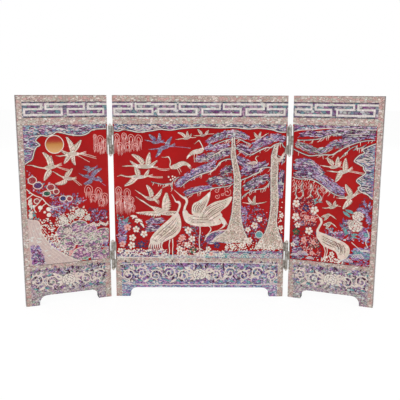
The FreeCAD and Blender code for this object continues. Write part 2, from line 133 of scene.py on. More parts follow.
def handled_surface():
    """What years of dusting leave on lacquer: soft smears, fine scratches and a little dust."""
    group, given, out = new_group(
        "handled_surface", [("Wear", 0.5)], [("Smear", "Float"), ("Dust", "Float")]
    )
    place = millimetres(group)
    smear = noise(group, place, 0.045, 4.0, 0.6)
    stretched = group.nodes.new("ShaderNodeMapping")
    stretched.inputs["Scale"].default_value = (0.4, 0.4, 9.0)
    stretched.inputs["Rotation"].default_value = (0.0, 0.4, 0.0)
    group.links.new(place, stretched.inputs["Vector"])
    scratch = noise(group, stretched.outputs[0], 0.35, 3.0, 0.7)
    both = math_node(group, "ADD", math_node(group, "MULTIPLY", smear, 0.7),
                     math_node(group, "MULTIPLY", scratch, 0.3))
    group.links.new(math_node(group, "MULTIPLY", both, given.outputs["Wear"]), out.inputs["Smear"])
    specks = math_node(group, "GREATER_THAN", noise(group, place, 2.6, 2.0, 0.8), 0.74)
    patches = math_node(group, "MULTIPLY", specks, noise(group, place, 0.05))
    group.links.new(math_node(group, "MULTIPLY", patches, given.outputs["Wear"]), out.inputs["Dust"])
    return group


HANDLED = handled_surface()


def new_material(name, roughness, metallic=0.0, coat=0.0, coat_roughness=0.05):
    """A material with its Principled shader. Returns the material, its tree and the shader."""
    material = bpy.data.materials.new(name)
    material.use_nodes = True
    tree = material.node_tree
    shader = tree.nodes["Principled BSDF"]
    shader.inputs["Roughness"].default_value = roughness
    shader.inputs["Metallic"].default_value = metallic
    shader.inputs["Specular IOR Level"].default_value = 0.15
    shader.inputs["Coat Weight"].default_value = coat
    shader.inputs["Coat Roughness"].default_value = coat_roughness
    return material, tree, shader


def place_group(tree, group, **values):
    node = tree.nodes.new("ShaderNodeGroup")
    node.node_tree = group
    for label, value in values.items():
        node.inputs[label.replace("_", " ")].default_value = value
    return node


def bump(tree, shader, height, distance, strength=1.0):
    node = tree.nodes.new("ShaderNodeBump")
    node.inputs["Distance"].default_value = distance * MM
    node.inputs["Strength"].default_value = strength
    tree.links.new(height, node.inputs["Height"])
    tree.links.new(node.outputs["Normal"], shader.inputs["Normal"])


def lacquer(name, deep, bright, wear):
    """Polished lacquer: a slightly uneven colour under a clear coat, with smears and dust."""
    material, tree, shader = new_material(name, 0.3, coat=0.08)
    handled = place_group(tree, HANDLED, Wear=wear)
    place = millimetres(tree)
    cloud = noise(tree, place, 0.03, 3.0)
    colour = ramp(tree, cloud, [(0.3, deep), (0.7, bright)])
    colour = mix(tree, "MIX", handled.outputs["Dust"], colour, tint(150, 140, 132))
    tree.links.new(colour, shader.inputs["Base Color"])
    rough = math_node(tree, "ADD", math_node(tree, "MULTIPLY", handled.outputs["Smear"], 0.45), 0.12)
    tree.links.new(rough, shader.inputs["Roughness"])
    bump(tree, shader, noise(tree, place, 0.5, 4.0), 0.02, 0.4)
    return material


def coat_node(name, material):
    """Gives a CAD node its finish."""
    data = nodes[name].data
    data.materials.clear()
    data.materials.append(material)


black_lacquer = lacquer("black_lacquer", tint(16, 9, 9), tint(34, 20, 18), 0.8)
PANELS = ("centre", "left_wing", "right_wing")
for panel_name in PANELS:
    coat_node(f"{panel_name}_core_board", black_lacquer)

# ------------------------------------------------------------------ shell borders
# Frames, rails and edge bands: chips of mother-of-pearl laid close like crazy paving, pink, beige
# and grey, with dark lacquer in the joints, then rubbed flat and varnished.


def shell_chips():
    """A mosaic of broken shell: a random tone for each chip, cloudy lustre and dark joints."""
    group, given, out = new_group(
        "shell_chips",
        [("Chips per mm", 0.6), ("Joint", 0.06), ("Lustre per mm", 0.2), ("Squeeze", 1.0)],
        [("Chip", "Float"), ("Lustre", "Float"), ("Joint", "Float"), ("Glint", "Float"), ("Height", "Float")],
    )
    scales = group.nodes.new("ShaderNodeCombineXYZ")
    scales.inputs["X"].default_value = 1.0
    scales.inputs["Y"].default_value = 1.0
    group.links.new(given.outputs["Squeeze"], scales.inputs["Z"])
    pressed = group.nodes.new("ShaderNodeVectorMath")
    pressed.operation = "MULTIPLY"
    group.links.new(millimetres(group), pressed.inputs[0])
    group.links.new(scales.outputs[0], pressed.inputs[1])
    place = pressed.outputs[0]
    wobble = group.nodes.new("ShaderNodeTexNoise")
    wobble.inputs["Scale"].default_value = 0.9
    group.links.new(place, wobble.inputs["Vector"])
    shifted = group.nodes.new("ShaderNodeVectorMath")
    shifted.operation = "MULTIPLY_ADD"
    shifted.inputs[1].default_value = (0.8, 0.8, 0.8)
    group.links.new(wobble.outputs["Color"], shifted.inputs[0])
    group.links.new(place, shifted.inputs[2])
    cells = {}
    for feature in ("F1", "DISTANCE_TO_EDGE"):
        node = group.nodes.new("ShaderNodeTexVoronoi")
        node.feature = feature
        group.links.new(shifted.outputs[0], node.inputs["Vector"])
        group.links.new(given.outputs["Chips per mm"], node.inputs["Scale"])
        cells[feature] = node
    split = group.nodes.new("ShaderNodeSeparateColor")
    group.links.new(cells["F1"].outputs["Color"], split.inputs[0])
    edge = cells["DISTANCE_TO_EDGE"].outputs["Distance"]
    joint = math_node(group, "DIVIDE", edge, given.outputs["Joint"], clamp=True)
    group.links.new(split.outputs[0], out.inputs["Chip"])
    lustre = noise(group, place, given.outputs["Lustre per mm"], 4.0, 0.6)
    tilt = math_node(group, "MULTIPLY", math_node(group, "SUBTRACT", split.outputs[1], 0.5), 0.35)
    group.links.new(math_node(group, "ADD", lustre, tilt, clamp=True), out.inputs["Lustre"])
    group.links.new(math_node(group, "SUBTRACT", 1.0, joint), out.inputs["Joint"])
    glint = math_node(group, "GREATER_THAN", split.outputs[2], 0.94)
    group.links.new(math_node(group, "MULTIPLY", glint, joint), out.inputs["Glint"])
    level = math_node(group, "ADD", joint, math_node(group, "MULTIPLY", split.outputs[2], 0.4))
    group.links.new(level, out.inputs["Height"])
    return group


CHIPS = shell_chips()


def shell(name, tones, joint_tint, chips_per_mm, joint=0.06, lustre=0.2, spread=0.35, gloss=0.2,
          squeeze=1.0):
    """Mother-of-pearl in chips. Tones run through its colours as the lustre changes."""
    material, tree, shader = new_material(name, gloss, coat=0.12)
    chips = place_group(
        tree, CHIPS, Chips_per_mm=chips_per_mm, Joint=joint, Lustre_per_mm=lustre, Squeeze=squeeze
    )
    chip_share = math_node(tree, "MULTIPLY", chips.outputs["Chip"], 1.0 - spread)
    lustre_share = math_node(tree, "MULTIPLY", chips.outputs["Lustre"], spread)
    value = math_node(tree, "ADD", chip_share, lustre_share, clamp=True)
    stops = [(i / (len(tones) - 1) * 0.9 + 0.05, tone) for i, tone in enumerate(tones)]
    colour = ramp(tree, value, stops)
    glint = math_node(tree, "MULTIPLY", chips.outputs["Glint"], 0.5)
    colour = mix(tree, "MIX", glint, colour, tint(226, 232, 226))
    colour = mix(tree, "MIX", chips.outputs["Joint"], colour, joint_tint)
    tree.links.new(colour, shader.inputs["Base Color"])
    bump(tree, shader, chips.outputs["Height"], 0.05, 0.5)
    rough = math_node(tree, "MULTIPLY_ADD", chips.outputs["Lustre"], 0.25)
    tree.links.new(rough, shader.inputs["Roughness"])
    rough.node.inputs[2].default_value = gloss - 0.08
    return material


border_shell = shell(
    "border_shell",
    [tint(132, 100, 92), tint(182, 152, 140), tint(188, 190, 176), tint(202, 158, 154),
     tint(164, 156, 148), tint(226, 212, 202), tint(172, 138, 144), tint(200, 178, 166)],
    tint(116, 82, 76), 0.36, 0.08, 0.09, spread=0.5, squeeze=1.7,
)
# The edge bands take a darker copy of the border shell: painted shade for the edge faces of the boards.
painted_shade_band_shell = shell(
    "painted_shade_band_shell",
    [tint(84, 66, 64), tint(150, 134, 128), tint(122, 118, 116), tint(146, 118, 120),
     tint(176, 166, 160)],
    tint(64, 46, 44), 0.3, 0.06, 0.3,
)
BORDERS = ("top_border", "rail_border", "lower_border", "foot_border", "left_foot_border",
           "right_foot_border", "stile_border")
for panel_name in PANELS:
    for part in BORDERS:
        if f"{panel_name}_{part}" in nodes:
            coat_node(f"{panel_name}_{part}", border_shell)
    for part in ("top_edge_band", "outer_edge_band"):
        if f"{panel_name}_{part}" in nodes:
            coat_node(f"{panel_name}_{part}", painted_shade_band_shell)

# ------------------------------------------------------------------ frets
# A running key fret across each head: one strip of pale shell, standing a little proud of a
# ground of dark abalone, which shows purple, green and grey.

fret_shell = shell(
    "fret_shell",
    [tint(196, 184, 180), tint(222, 213, 208), tint(208, 202, 196), tint(228, 218, 216),
     tint(206, 194, 196)],
    tint(168, 152, 148), 0.3, 0.04, 0.3,
)
fret_ground_shell = shell(
    "fret_ground_shell",
    [tint(42, 30, 46), tint(134, 92, 132), tint(92, 140, 142), tint(178, 138, 160),
     tint(74, 68, 108), tint(186, 186, 178), tint(126, 66, 122), tint(58, 48, 72)],
    tint(44, 28, 40), 0.24, 0.07, 0.35, squeeze=1.6,
)
for panel_name in PANELS:
    coat_node(f"{panel_name}_fret_key", fret_shell)
    coat_node(f"{panel_name}_fret_ground", fret_ground_shell)

# ------------------------------------------------------------------ picture fields and aprons
# The pictures lie in vermilion lacquer, polished to a mirror. The aprons below them have a ground
# of violet and blue shell chips instead.

def streaky(name, tones, joint_tint, squeeze, gloss=0.2):
    """Shell cut along its growth lines, so that its colours run in level streaks."""
    material, tree, shader = new_material(name, gloss, coat=0.12)
    place = millimetres(tree)
    flat = tree.nodes.new("ShaderNodeMapping")
    flat.inputs["Scale"].default_value = squeeze
    tree.links.new(place, flat.inputs["Vector"])
    streak = noise(tree, flat.outputs[0], 1.0, 5.0, 0.62)
    stretched = math_node(tree, "MULTIPLY_ADD", streak, 3.0, clamp=True)
    stretched.node.inputs[2].default_value = -1.0
    stops = [(i / (len(tones) - 1), tone) for i, tone in enumerate(tones)]
    chips = place_group(tree, CHIPS, Chips_per_mm=0.3, Joint=0.1, Squeeze=2.0)
    blend = math_node(tree, "MULTIPLY", stretched, 0.5)
    value = math_node(tree, "ADD", blend, math_node(tree, "MULTIPLY", chips.outputs["Chip"], 0.5))
    colour = ramp(tree, value, stops)
    glint = math_node(tree, "MULTIPLY", chips.outputs["Glint"], 0.6)
    colour = mix(tree, "MIX", glint, colour, tint(214, 226, 222))
    colour = mix(tree, "MIX", chips.outputs["Joint"], colour, joint_tint)
    tree.links.new(colour, shader.inputs["Base Color"])
    bump(tree, shader, chips.outputs["Height"], 0.04, 0.5)
    return material


red_lacquer = lacquer("red_lacquer", tint(148, 3, 5), tint(169, 6, 8), 0.35)
apron_shell = streaky(
    "apron_shell",
    [tint(66, 38, 92), tint(152, 108, 168), tint(206, 158, 188), tint(108, 100, 164), tint(134, 176, 182),
     tint(226, 202, 220), tint(132, 88, 150), tint(88, 70, 132)],
    tint(60, 34, 64), (0.2, 0.2, 0.3),
)
wing_apron_shell = streaky(
    "wing_apron_shell",
    [tint(88, 66, 92), tint(178, 150, 166), tint(146, 176, 158), tint(208, 174, 178), tint(126, 112, 148),
     tint(216, 210, 200), tint(172, 140, 154), tint(136, 152, 150)],
    tint(84, 56, 66), (0.2, 0.2, 0.3),
)
for panel_name in PANELS:
    coat_node(f"{panel_name}_picture_field", red_lacquer)
    coat_node(f"{panel_name}_apron", apron_shell if panel_name == "centre" else wing_apron_shell)

# ------------------------------------------------------------------ cloud bands
# Streaky violet shell, sawn into cloud shapes under the head rail and down the outer sides, each
# edged with a narrow pale rim. Under the rims drawn by clouds() lies a wider dark strip: painted shade.


class Front:
    """The front of one panel. X runs to the viewer's right and Z up, both in millimetres."""

    def __init__(self, name, body, origin, along, low, high):
        self.name = name
        self.body = body
        self.origin = origin
        self.along = along
        self.out = Vector((along.y, -along.x, 0))
        self.low = low
        self.high = high

    def point(self, x, z, height):
        """A point this far out of the panel's front, kept clear of the hinges and the stile."""
        x = min(max(x, self.low), self.high)
        return self.origin + (self.along * x + self.out * height + Vector((0, 0, z))) * MM


def panel_fronts():
    """The three fronts, from the CAD boxes and the hinge joints."""
    field_low, field_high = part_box("centre_picture_field")
    fronts = [Front("centre", "centre_panel", Vector((0, field_low.y, 0)), Vector((1, 0, 0)),
                    -86.7, 86.7)]
    for joint in frame["record"]["behaviour"]["joints"]:
        axis = Vector(joint["pos_m"]).xy.to_3d()
        swing = math.radians(180 - joint["range_deg"][1])
        behind = field_low.y - axis.y
        side = 1 if axis.x > 0 else -1
        along = Vector((math.cos(swing), -side * math.sin(swing), 0))
        inner = side * (axis.x * side - field_high.x)
        start = axis + along * inner - Vector((along.y, -along.x, 0)) * behind
        name = "right_wing" if side > 0 else "left_wing"
        low, high = 1.3, WING_WIDTH - 5.4
        if side < 0:
            start = start - along * WING_WIDTH * MM
            low, high = 5.4, WING_WIDTH - 1.3
        fronts.append(Front(name, joint["child"], start, along, low, high))
    return fronts


WING_WIDTH = 86.8
centre, left_wing, right_wing = panel_fronts()
SUNK = -0.05


def smooth(points, closed=False, steps=5):
    """A flowing line through the points."""
    count = len(points)
    result = []
    for i in range(count if closed else count - 1):
        if closed:
            p = [points[(i + k) % count] for k in (-1, 0, 1, 2)]
        else:
            p = [points[min(max(i + k, 0), count - 1)] for k in (-1, 0, 1, 2)]
        for s in range(steps):
            t = s / steps
            result.append(tuple(
                0.5 * (2 * p[1][a] + (p[2][a] - p[0][a]) * t
                       + (2 * p[0][a] - 5 * p[1][a] + 4 * p[2][a] - p[3][a]) * t * t
                       + (3 * p[1][a] - p[0][a] - 3 * p[2][a] + p[3][a]) * t ** 3)
                for a in (0, 1)
            ))
    if not closed:
        result.append(tuple(points[-1]))
    return result


def profile(widths, t):
    """The width at t, from 0 to 1, along evenly spaced widths."""
    if not isinstance(widths, (list, tuple)):
        return widths
    place = t * (len(widths) - 1)
    i = min(int(place), len(widths) - 2)
    return widths[i] + (widths[i + 1] - widths[i]) * (place - i)


def sides(line, widths, closed=False):
    """The two edges of a strip along a line."""
    count = len(line)
    left, right = [], []
    for i, (x, z) in enumerate(line):
        before = line[(i - 1) % count] if closed or i else line[i]
        after = line[(i + 1) % count] if closed or i < count - 1 else line[i]
        dx, dz = after[0] - before[0], after[1] - before[1]
        length = math.hypot(dx, dz) or 1.0
        half = profile(widths, i / max(count - 1, 1)) / 2
        left.append((x - dz / length * half, z + dx / length * half))
        right.append((x + dz / length * half, z - dx / length * half))
    return left, right


class Inlay:
    """Thin pieces of shell set into one panel, gathered as one mesh."""

    def __init__(self, front, name, material, slot="inlaid_lacquer"):
        self.front = front
        self.name = f"{front.name}_{name}"
        self.material = material
        self.slot = slot
        self.points = []
        self.faces = []
        self.count = 0

    def lift(self, height):
        """Neighbours lie at slightly different heights, as hand-laid pieces do."""
        self.count += 1
        return height + (self.count * 7 % 23) * 0.002

    def plate(self, outline, height):
        """A flat piece with this outline."""
        area = sum(
            a[0] * b[1] - b[0] * a[1] for a, b in zip(outline, outline[1:] + outline[:1])
        )
        outline = outline if area > 0 else outline[::-1]
        count = len(outline)
        base = len(self.points)
        for level in (SUNK, self.lift(height)):
            self.points += [self.front.point(x, z, level) for x, z in outline]
        self.faces.append(list(range(base + count, base + 2 * count)))
        self.faces.append(list(range(base + count - 1, base - 1, -1)))
        for i in range(count):
            j = (i + 1) % count
            self.faces.append([base + i, base + j, base + count + j, base + count + i])

    def strip(self, line, widths, height, closed=False):
        """A narrow piece along a line. Widths may be one number or a list along it."""
        left, right = sides(line, widths, closed)
        count = len(line)
        base = len(self.points)
        top = self.lift(height)
        for (a, b), (c, d) in zip(left, right):
            for x, z, level in ((a, b, top), (c, d, top), (c, d, SUNK), (a, b, SUNK)):
                self.points.append(self.front.point(x, z, level))
        for i in range(count if closed else count - 1):
            p, q = base + 4 * i, base + 4 * ((i + 1) % count)
            for k in range(4):
                self.faces.append([p + k, p + (k + 1) % 4, q + (k + 1) % 4, q + k])
        if not closed:
            self.faces.append([base + k for k in (3, 2, 1, 0)])
            self.faces.append([base + 4 * (count - 1) + k for k in range(4)])

    def disc(self, x, z, across, up, height, sides_count=14):
        """A round or oval piece."""
        turn = 2 * math.pi / sides_count
        self.plate([(x + across * math.cos(k * turn), z + up * math.sin(k * turn))
                    for k in range(sides_count)], height)

    def fix(self):
        """Makes the mesh and sets it in its panel."""
        mesh = bpy.data.meshes.new(self.name)
        mesh.from_pydata(self.points, [], self.faces)
        mesh.materials.append(self.material)
        piece = bpy.data.objects.new(self.name, mesh)
        scene.collection.objects.link(piece)
        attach(piece, self.front.body)
        return piece


violet_shell = streaky(
    "violet_shell",
    [tint(16, 8, 28), tint(92, 38, 90), tint(192, 138, 168), tint(80, 66, 136),
     tint(128, 178, 180), tint(220, 190, 210), tint(124, 52, 104), tint(34, 20, 56),
     tint(176, 180, 188)],
    tint(50, 20, 36), (0.16, 0.16, 0.6),
)
pale_shell = shell(
    "pale_shell",
    [tint(206, 186, 176), tint(226, 208, 200), tint(214, 206, 192), tint(236, 220, 212)],
    tint(200, 176, 168), 0.4, 0.03, 0.35,
)


string_shell = shell(
    "string_shell", [tint(34, 22, 34), tint(70, 52, 74), tint(48, 66, 70), tint(110, 90, 110)],
    tint(30, 16, 22), 0.3, 0.06, 0.3,
)


def clouds(front, outline, edge):
    """A cloud with its pale rim over a wider dark strip of painted shade, and the drawn swirls inside it."""
    rim_width = 0.9
    body = Inlay(front, "clouds", violet_shell)
    rim = Inlay(front, "cloud_rims", pale_shell)
    shade = Inlay(front, "cloud_shades", string_shell)
    body.plate(outline, 0.12)
    for line in edge:
        rim.strip(line, rim_width, 0.2)
        # A wider strip of dark shell under each rim: painted shade round the pale rim.
        shade.strip(line, rim_width + 1.1, 0.15)
    draw = random.Random(len(outline))
    xs, zs = [p[0] for p in outline], [p[1] for p in outline]
    for k in range(340):
        x, z = draw.uniform(min(xs), max(xs)), draw.uniform(min(zs), max(zs))
        length = draw.uniform(3, 9)
        wave = [(x + length * t, z + 0.7 * math.sin(t * 5 + x)) for t in (0, 0.25, 0.5, 0.75, 1)]
        if inside(wave[0], outline) and inside(wave[-1], outline) and inside(wave[2], outline):
            (shade if k % 2 else rim).strip(smooth(wave, steps=3), [0.1, 0.6, 0.5, 0.1], 0.17)
    for piece in (body, rim, shade):
        piece.fix()


def inside(point, outline):
    """Whether a point lies within an outline."""
    x, z = point
    within = False
    for (ax, az), (bx, bz) in zip(outline, outline[1:] + outline[:1]):
        if (az > z) != (bz > z) and x < (bx - ax) * (z - az) / (bz - az) + ax:
            within = not within
    return within


FIELD_TOP = 181.3
edge_line = smooth([(-86.6, 175), (-82, 174.5), (-77, 176), (-70, 175), (-63, 173.5), (-56, 174),
                    (-48, 175), (-40, 176.4), (-30, 175.6), (-20, 177), (-8, 178.2), (6, 178.6),
                    (20, 178), (34, 178.4), (48, 177), (60, 177.8), (72, 176.4), (80, 174), (86.6, 174)])
clouds(centre, edge_line + [(86.6, FIELD_TOP), (-86.6, FIELD_TOP)], [edge_line])
edge_line = smooth([(5.2, 144), (9, 146.7), (12.5, 149), (15, 156.7), (17.5, 160.8), (20.4, 162.5),
                    (16.7, 167), (21.7, 171.7), (27.5, 170.8), (33.3, 172.5), (36.7, 174.6),
                    (41.7, 173.8), (50, 171.7), (60, 170.8), (66.7, 172.5), (72.5, 176.3),
                    (86.3, 177)])
clouds(left_wing, edge_line + [(86.3, FIELD_TOP), (5.2, FIELD_TOP)], [edge_line])
edge_line = smooth([(81, 111), (75, 115.8), (69, 118), (66.7, 120.8), (69, 124), (65, 127.5),
                    (65.8, 130), (70.8, 134), (73, 136.7), (70.8, 140), (70, 143), (64, 145.8),
                    (61.7, 148), (65.8, 153), (70.8, 155.8), (69, 159), (75, 162.5), (80.8, 165)])
upper_line = smooth([(0.4, 174.4), (8, 176.2), (20, 177), (33, 178.6), (44, 178.2), (56, 178.8),
                     (70, 178), (81, 178.4)])
clouds(right_wing, edge_line, [edge_line])
upper = Inlay(right_wing, "upper_clouds", violet_shell)
upper.plate(upper_line + [(81, FIELD_TOP), (0.4, FIELD_TOP)], 0.13)
upper.fix()
upper_rim = Inlay(right_wing, "upper_cloud_rim", pale_shell)
upper_rim.strip(upper_line, 0.7, 0.2)
upper_rim.fix()

# ------------------------------------------------------------------ dark strings
# Narrow strings of dark abalone laid above and below each fret and over each picture.
# Each is a thin strip glued down beside the border and rubbed level with it.

for front, low_x, high_x in ((centre, -86.6, 86.6), (left_wing, 5.6, 86.2), (right_wing, 0.6, 81.2)):
    strings = Inlay(front, "dark_strings", string_shell, "abalone_ground")
    for z, width in ((203.4, 0.6), (188.9, 0.6), (181.2, 0.7), (42.2, 0.35)):
        strings.strip([(low_x, z), ((low_x + high_x) / 2, z), (high_x, z)], width, 0.06)
    strings.fix()

# ------------------------------------------------------------------ sun
# A disc of gold leaf under red-tinted varnish, inside a ring of pale shell.
# The ring is a bent strip of shell glued round the leaf.


def gold_leaf():
    material, tree, shader = new_material("gold_leaf", 0.35, metallic=0.25, coat=0.5)
    place = millimetres(tree)
    split = tree.nodes.new("ShaderNodeSeparateXYZ")
    tree.links.new(place, split.inputs[0])
    rise = math_node(tree, "SUBTRACT", split.outputs["Z"], 155.0)
    rise = math_node(tree, "DIVIDE", rise, 15.0, clamp=True)
    wrinkle = math_node(tree, "MULTIPLY", noise(tree, place, 0.9, 4.0), 0.18)
    level = math_node(tree, "ADD", rise, wrinkle, clamp=True)
    stops = [(0.0, tint(222, 168, 112)), (0.3, tint(205, 150, 95)), (0.6, tint(190, 128, 62)),
             (0.8, tint(166, 52, 28)), (1.0, tint(160, 20, 20))]
    tree.links.new(ramp(tree, level, stops), shader.inputs["Base Color"])
    bump(tree, shader, noise(tree, place, 1.4, 5.0), 0.03, 0.5)
    return material


SUN = (34.3, 162.7, 8.7)
sun = Inlay(left_wing, "sun", gold_leaf())
sun.disc(SUN[0], SUN[1], SUN[2] - 0.3, SUN[2] - 0.3, 0.15, 48)
sun.fix()
sun_ring = Inlay(left_wing, "sun_ring", pale_shell)
sun_ring.strip([(SUN[0] + SUN[2] * math.cos(k * math.pi / 24),
                 SUN[1] + SUN[2] * math.sin(k * math.pi / 24)) for k in range(48)],
               0.8, 0.22, closed=True)
sun_ring.fix()

# ------------------------------------------------------------------ far mountains
# Groups of peaks drawn in thin pink shell wire: nested arches with straight falls below them.
# The wire is glued to the lacquer and stands a hair proud of it.

pink_shell = shell(
    "pink_shell",
    [tint(206, 140, 132), tint(228, 170, 162), tint(218, 158, 156), tint(236, 190, 180)],
    tint(196, 120, 116), 0.5, 0.03, 0.3,
)


def peak(wire, x, top, width, foot, draw):
    """One peak: two nested arches and the falls that hang from it."""
    for shrink, drop in ((1.0, 0.0), (0.55, width * 0.32)):
        half = width * shrink / 2
        crown = top - drop
        arch = [(x - half, crown - width * 0.95), (x - half * 0.9, crown - width * 0.35),
                (x - half * 0.35, crown), (x + half * 0.4, crown - width * 0.06),
                (x + half * 0.95, crown - width * 0.4), (x + half, crown - width)]
        wire.strip(smooth(arch), 0.55, 0.17)
    falls = max(int(width / 1.1), 3)
    for k in range(falls):
        at = x - width / 2 + (k + 0.5) * width / falls + draw.uniform(-0.2, 0.2)
        low = foot + draw.uniform(0, 0.25) * (top - foot)
        high = top - width * draw.uniform(0.75, 1.1)
        wire.strip([(at, high), (at + draw.uniform(-0.3, 0.3), (low + high) / 2), (at, low)],
                   [0.5, 0.5, 0.15], 0.15)


MOUNTAINS = {
    centre: [(-84, 171.5, 6, 149), (-76.6, 172.4, 5, 151), (-69.6, 171, 6.5, 152),
             (-62, 170.5, 7, 154), (-81, 163, 6, 148), (-73, 162.6, 7, 151), (-65.4, 162, 6, 154),
             (-83.4, 117.5, 6.4, 90), (-74.6, 115.5, 6.6, 89), (-70.4, 107, 5, 92),
             (-79.4, 108, 6.4, 88), (-84, 104, 5, 88), (-74.6, 102, 6, 88), (-69.4, 99, 5, 90)],
    left_wing: [(74, 171.4, 3, 151), (79.4, 170, 6.6, 151), (84, 166.4, 4, 151.6),
                (75.4, 161.5, 5.4, 152), (81, 159.5, 5.6, 151),
                (66, 120.8, 8, 106), (76, 117.4, 7, 101), (82.4, 111.4, 6.4, 98),
                (70.6, 111, 6.4, 102), (78.6, 106, 6, 96)],
}
for front, peaks in MOUNTAINS.items():
    wires = Inlay(front, "mountain_wires", pink_shell)
    chance = random.Random(11)
    for at, summit, breadth, falls_end in peaks:
        peak(wires, at, summit, breadth, falls_end, chance)
    wires.fix()

# ------------------------------------------------------------------ pine trunks
# Two old pines on the centre panel, sawn from pale shell. Bark scales are scored into the shell,
# and small knots stand along both edges over a dark strip of painted shade.

bark_shell = shell(
    "bark_shell",
    [tint(140, 112, 100), tint(206, 190, 174), tint(182, 180, 158), tint(228, 212, 200),
     tint(206, 168, 156), tint(236, 228, 214), tint(160, 136, 120)],
    tint(124, 84, 74), 0.62, 0.12, 0.4,
)
TRUNKS = [
    ([(32.6, 168), (32.4, 160), (31.6, 150), (33.4, 140), (35, 130), (35, 120), (34.8, 110),
      (34.2, 100), (33, 90), (31, 80), (27.6, 72), (20, 66), (13, 60)],
     [(34.6, 168), (35.2, 160), (36, 150), (38.4, 140), (40.8, 130), (41.4, 120), (41.6, 110),
      (41.8, 100), (42.2, 90), (43.4, 80), (46, 71), (50, 63), (54, 58)]),
    ([(75.4, 161), (72.8, 150), (72.6, 140), (72.6, 130), (72.6, 120), (73, 110), (73.2, 100),
      (72.6, 90), (71, 80), (68, 70), (62, 60), (57, 52)],
     [(78.8, 161), (77.6, 150), (79, 140), (79.2, 130), (79.2, 120), (80.2, 110), (80.2, 100),
      (79.8, 90), (79.2, 80), (82, 70), (85.6, 60), (87.4, 52)]),
]
trunks = Inlay(centre, "pine_trunks", bark_shell)
knots = Inlay(centre, "pine_trunk_knots", pale_shell)
trunk_edge_shade = Inlay(centre, "trunk_painted_edge_shade", string_shell)
chance = random.Random(3)
for west, east in TRUNKS:
    trunks.plate(smooth(west) + smooth(east)[::-1], 0.2)
    for bark_edge in (smooth(west, steps=8), smooth(east, steps=8)):
        # A wide strip of dark shell along each trunk edge, mostly under the trunk: painted shade along the
        # bark's edge.
        trunk_edge_shade.strip(bark_edge, 2.0, 0.12)
        knots.strip(bark_edge, 0.5, 0.26)
        for x, z in bark_edge:
            knots.disc(x + chance.uniform(-0.3, 0.3), z, chance.uniform(0.35, 0.65),
                       chance.uniform(0.5, 0.8), 0.3, 8)
for piece in (trunks, knots, trunk_edge_shade):
    piece.fix()
scores = Inlay(centre, "bark_scores", string_shell)
for west, east in TRUNKS:
    for k in range(210):
        at = chance.uniform(0, len(west) - 1.001)
        i, t = int(at), at - int(at)
        low = [west[i][a] + (west[i + 1][a] - west[i][a]) * t for a in (0, 1)]
        high = [east[i][a] + (east[i + 1][a] - east[i][a]) * t for a in (0, 1)]
        across = chance.uniform(0.1, 0.9)
        x, z = (low[a] + (high[a] - low[a]) * across for a in (0, 1))
        size = chance.uniform(0.4, 0.8)
        scores.strip([(x - size, z + size * 0.5), (x, z - size * 0.3), (x + size, z + size * 0.5)],
                     [0.15, 0.4, 0.15], 0.24)
scores.fix()

# ------------------------------------------------------------------ pine boughs
# Needle masses: slivers of violet, blue and green shell laid along each bough, with pale shell
# wires for the limbs under them and short twigs hanging below. Each limb lies over a wider dark
# strip of painted shade.

needle_shell = streaky(
    "needle_shell",
    [tint(22, 6, 24), tint(108, 34, 92), tint(182, 112, 164), tint(78, 46, 110),
     tint(100, 142, 146), tint(232, 190, 220), tint(136, 34, 84), tint(42, 16, 52),
     tint(162, 118, 160)],
    tint(48, 10, 24), (0.2, 0.2, 0.5),
)
blue_needle_shell = streaky(
    "blue_needle_shell",
    [tint(28, 14, 52), tint(104, 72, 150), tint(180, 122, 172), tint(96, 136, 174),
     tint(220, 182, 216), tint(84, 44, 116), tint(192, 190, 208), tint(52, 34, 90)],
    tint(50, 18, 46), (0.2, 0.2, 0.5),
)
green_needle_shell = streaky(
    "green_needle_shell",
    [tint(44, 40, 44), tint(110, 140, 128), tint(160, 132, 140), tint(84, 116, 112),
     tint(184, 196, 172), tint(120, 82, 104), tint(70, 60, 70)],
    tint(70, 34, 44), (0.3, 0.3, 0.6),
)
lilac_shell = streaky(
    "lilac_shell",
    [tint(180, 140, 176), tint(214, 186, 212), tint(188, 170, 206), tint(232, 212, 226), tint(186, 196, 206)],
    tint(120, 80, 110), (0.2, 0.2, 0.5),
)
deep_shell = streaky(
    "deep_shell",
    [tint(44, 22, 36), tint(74, 34, 56), tint(96, 60, 92), tint(60, 34, 60), tint(84, 74, 96)],
    tint(60, 20, 34), (0.2, 0.2, 0.3),
)


